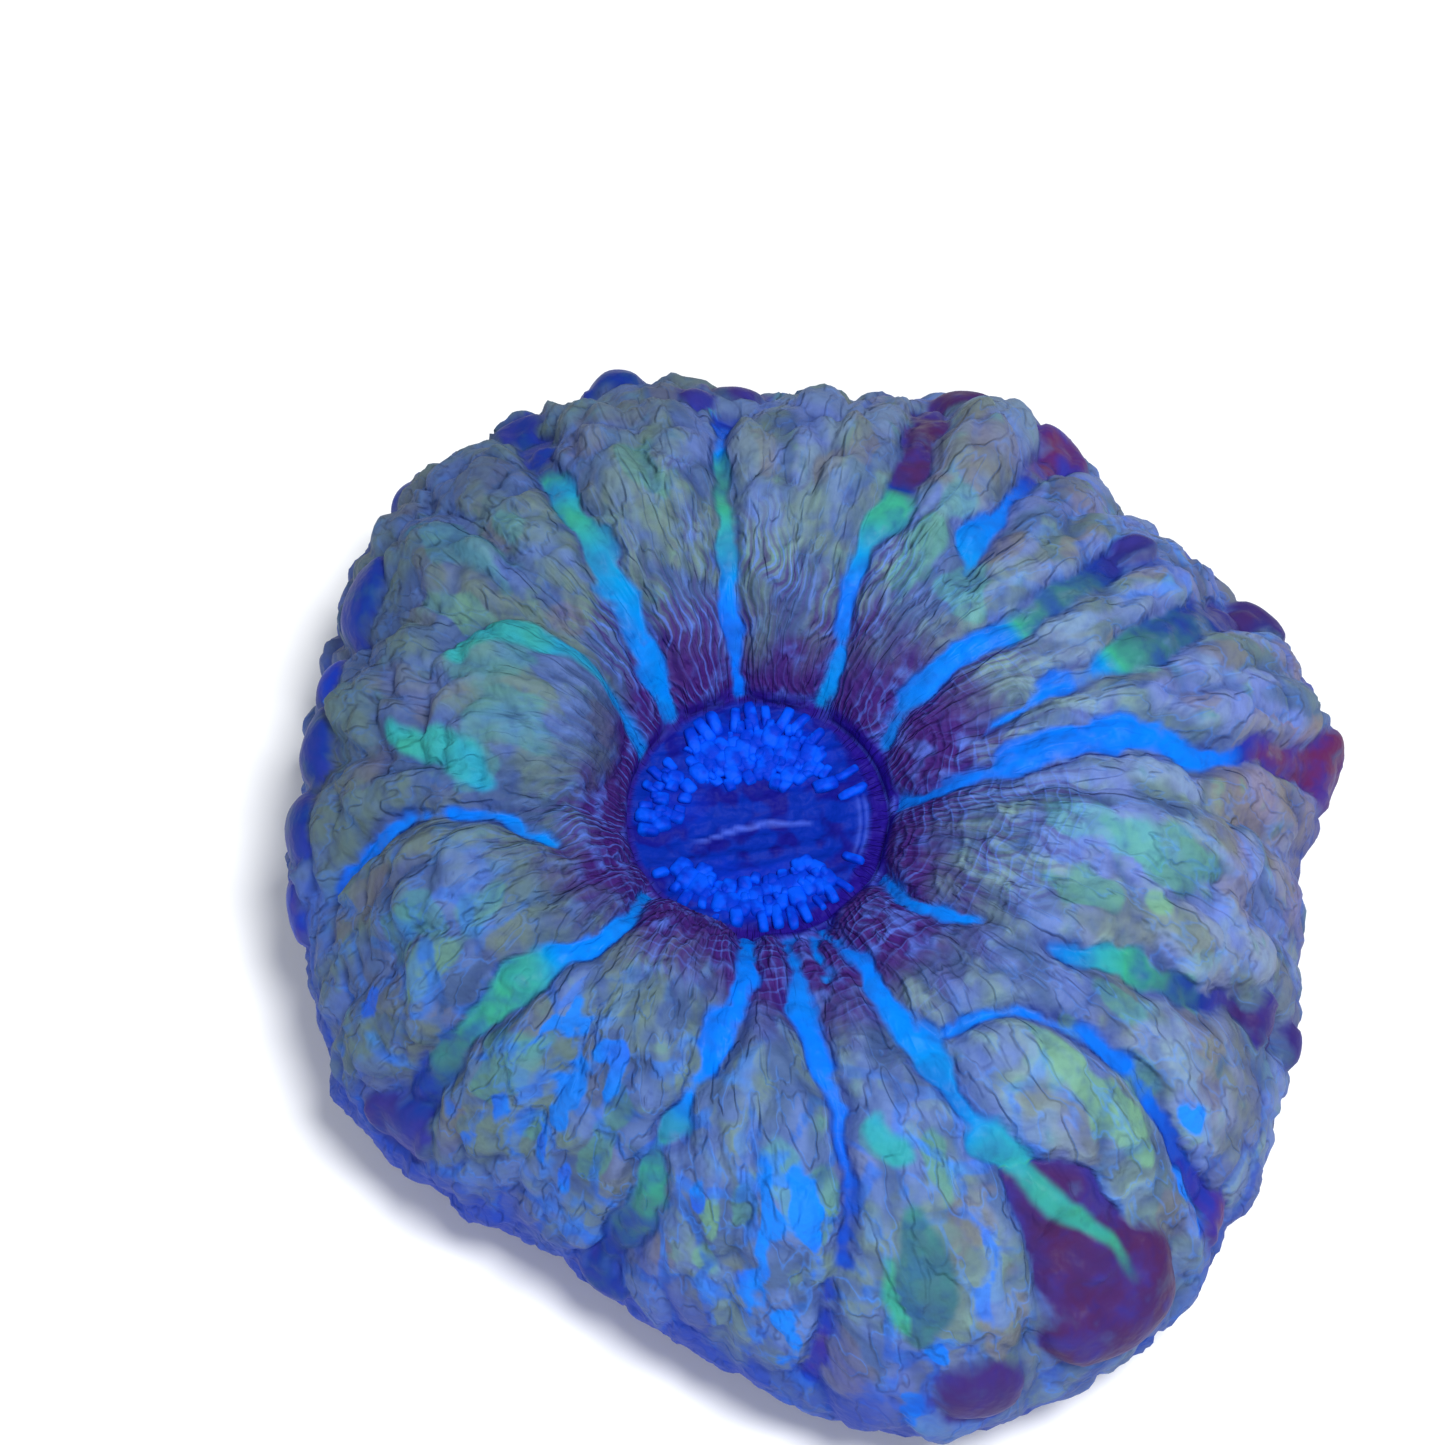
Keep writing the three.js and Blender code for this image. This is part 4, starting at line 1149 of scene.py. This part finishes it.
# Painted shade: the bottoms of the furrows beside the ribs are darkened to night blue.
lay_over(carried("groove_shade") * 0.5, NIGHT)
relief_shade_and_highlight = carried("relief_shade_and_highlight")
# Painted shade in the low hollows of the relief and a painted highlight on the high tops of the lumps.
lay_over((1 - between(0.05, 0.4, relief_shade_and_highlight)) * 0.45, SHADOW)
lay_over(between(0.5, 0.95, relief_shade_and_highlight) * 0.25, PALE)
calm = 1 - carried("smooth") * 0.8
# Painted light on every flake step: a dark line of painted shade on its low side and a pale blue line of
# painted highlight on its high side.
flake_step_shade = (1 - between(0, 0.03, flesh.maths("ABSOLUTE", flake - 0.47))) * calm
flake_step_highlight = (1 - between(0, 0.025, flesh.maths("ABSOLUTE", flake - 0.515))) * calm
lay_over(flake_step_shade * patchy * 0.2, NIGHT)
lay_over(flake_step_highlight * (0.12 + blueness * outer * 0.24), HIGHLIGHT_BLUE)
sky_place = carried("blue")
sky_share = between(0.2, 0.55, sky_place * 0.65 + uneven * 1.3 + thin)
sky_share = sky_share * between(0.03, 0.35, sky_place)
lay_over(sky_share * 0.92, mix(between(0.3, 0.6, clouds), ROYAL, SKY))
print("patches and creases laid over")

# %% Rim, throat, pleats and disc, with painted shade on the rim, the far slopes and in the trough
wavy = clouds * 26 + small_clouds * 6
pleat = carried("pleat")
net = carried("net")
pleat_wave = flesh.maths("SINE", turn * PLEAT_LINES + wavy)
net_wave = flesh.maths("SINE", spread * NET_LINES_A_METRE + wavy)
pleat_line = between(0.6, 1, pleat_wave) * pleat
pleat_dark = between(0.3, 1, pleat_wave * -1) * pleat
net_line = between(0.75, 1, net_wave) * pleat * net
throat = carried("throat")
rim_share = carried("rim")
# Painted shade on the rim: the gaps between its lumps go dark, and its lumps turn deeper blue, partly
# their own colour and partly painted shade.
rim_gap_shade = between(0.1, 0.7, carried("crease") + uneven) * rim_share
lay_over(rim_gap_shade * 0.4, mix(clouds * 0.6, NIGHT, ROYAL))
lay_over(rim_share * between(0.3, 0.6, lump_tone) * (0.25 + blueness * 0.4), DEEP)
lay_over(carried("shade") * 0.55, mix(rim_share, SHADOW, DEEP))
lay_over(carried("inner_shade") * 0.38, SHADOW)
edge_share = carried("edge_shade") * (0.3 + blueness * 0.5)
lay_over(edge_share, mix(blueness, SHADOW, DEEP))
throat_colour = mix(between(0.5, 0.8, small_clouds) * 0.5, WINE, MAUVE)
lay_over(throat * 0.93, throat_colour)
lay_over(pleat_line * (0.06 + patchy * 0.36) * (1 - net * 0.6), MAUVE)
lay_over(pleat_dark * (0.2 + patchy * 0.4), WINE)
lay_over(net_line * (0.06 + patchy * 0.34), MAUVE)
# Painted shade: the trough round the disc, where the disc sits below the lobes, is darkened to dark
# violet.
lay_over(carried("trough"), TROUGH)
lay_over(carried("inner_end") * (0.1 + net * 0.35), LIP_BLUE)
disc = carried("disc")
disc_colour = mix(between(0.42, 0.66, small_clouds), DISC_BLUE, DISC_SHADE)
disc_colour = mix(carried("toothed") * 0.8, disc_colour, TOOTH_BED)
lay_over(disc, disc_colour)
lay_over(carried("lines") * 0.55, LIP_BLUE)
print("rim, throat and disc laid over")

# %% Ribs, the painted shade on their edges and sides, and the underside in painted shade
RIB_RAMP = [
    (PLUM_BLUE, paint(88, 34, 84)), (INK, paint(20, 44, 150)), (BLUE, paint(2, 107, 228)),
    (AZURE, paint(2, 123, 214)), (CYAN, paint(4, 131, 196)), (TEAL, paint(40, 146, 164)),
    (GREEN, paint(50, 148, 122)), (PINE, paint(50, 98, 112)), (INDIGO, paint(20, 46, 128)),
    (PLUM, paint(66, 34, 82)),
]


def tone_colour(tone):
    return flesh.node("ShaderNodeValToRGB", {"stops": RIB_RAMP}, {"Fac": tone + uneven * 0.1}, "Color")


rib_here = carried("rib")
rib_share = between(0.15, 0.85, rib_here + uneven * 1.1 + thin * 0.5)
rib_share = rib_share * between(0.02, 0.3, rib_here)
streak_share = between(0.1, 0.9, carried("streak") + uneven * 0.4)
# Painted shade: a dark line along each rib's edge, in the crease beside it.
lay_over(carried("edge") * patchy * 0.5, NIGHT)
rib_mottle = between(0.4, 0.7, clouds * 0.5 + small_clouds * 0.5) * 0.4
rib_colour = mix(rib_mottle, tone_colour(carried("tone")), DEEP)
# Painted shade: each rib goes deeper blue towards its sides, as a rounded band in shade; the bulbs are
# left out.
lay_over(rib_share, mix((1 - carried("core")) * 0.25, rib_colour, DEEP))
lay_over(streak_share * 0.9, tone_colour(carried("streak_tone")))
lay_over(between(0.5, 0.8, specks) * 0.2, NIGHT)
# Painted shade: the underside below the rim is darkened to night blue.
lay_over(carried("under") * 0.8, NIGHT)
bare = pleat * (1 - rib_share)
skin_share = 1 - rib_share * 0.75
flake_steps = between(0.44, 0.54, flake) * 0.65
bump_height = (specks * (skin_share * 0.7 + 0.2) + pleat_wave * bare * 0.2 + net_wave * bare * net * 0.15
               + flake_steps * skin_share * calm * (1 - disc))
flesh.wear(RIB_ROUGHNESS + (1 - rib_share) * 0.12, bump_height, 0.0005)
flesh.glow(0.05)
print("flesh has", len(flesh.tree.nodes), "nodes")

# %% [markdown]
# ## Teeth and the cut foot
#
# The teeth glow brighter blue than anything else on the animal. The cut underneath shows the
# stony skeleton: pale, with thin walls that run in to the centre as spokes.

# %% Teeth finish
TOOTH_BLUE = paint(2, 76, 220)
TOOTH_DEEP = paint(2, 50, 186)
tooth_skin = Finish("tooth_skin")
tooth_clouds = tooth_skin.speckle(tooth_skin.here(), 700, 2)
tooth_skin.colour = tooth_skin.mix(tooth_skin.between(0.4, 0.6, tooth_clouds), TOOTH_BLUE, TOOTH_DEEP)
tooth_skin.wear(0.55, tooth_clouds, 0.0004)
tooth_skin.glow(0.06)
teeth_mesh.materials.append(tooth_skin.material)

# %% Stone finish of the cut
BONE = paint(214, 204, 186)
BONE_SHADE = paint(150, 136, 120)
SEPTA = 48
stone = Finish("cut_skeleton")
stone_place = stone.here()
_, _, stone_turn = stone.plan(stone_place)
stone_grain = stone.speckle(stone_place, 900, 4, 0.6)
septa = stone.maths("SINE", stone_turn * SEPTA + stone_grain * 3)
stone.colour = stone.mix(stone.between(-0.2, 0.8, septa) * 0.7 + stone_grain * 0.3, BONE_SHADE, BONE)
stone.wear(0.85, septa * 0.5 + stone_grain, 0.0006, 0.6)
coral_mesh.materials.append(flesh.material)
coral_mesh.materials.append(stone.material)

# %% [markdown]
# ## Hand over
#
# Both pieces ride on the part's only body and stand for its one node. The CAD part stays in the
# scene, hidden, beside this model.

# %% Ride, replace and finish
for piece in (coral_flesh, septal_teeth):
    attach(piece, "root")
    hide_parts("coral")
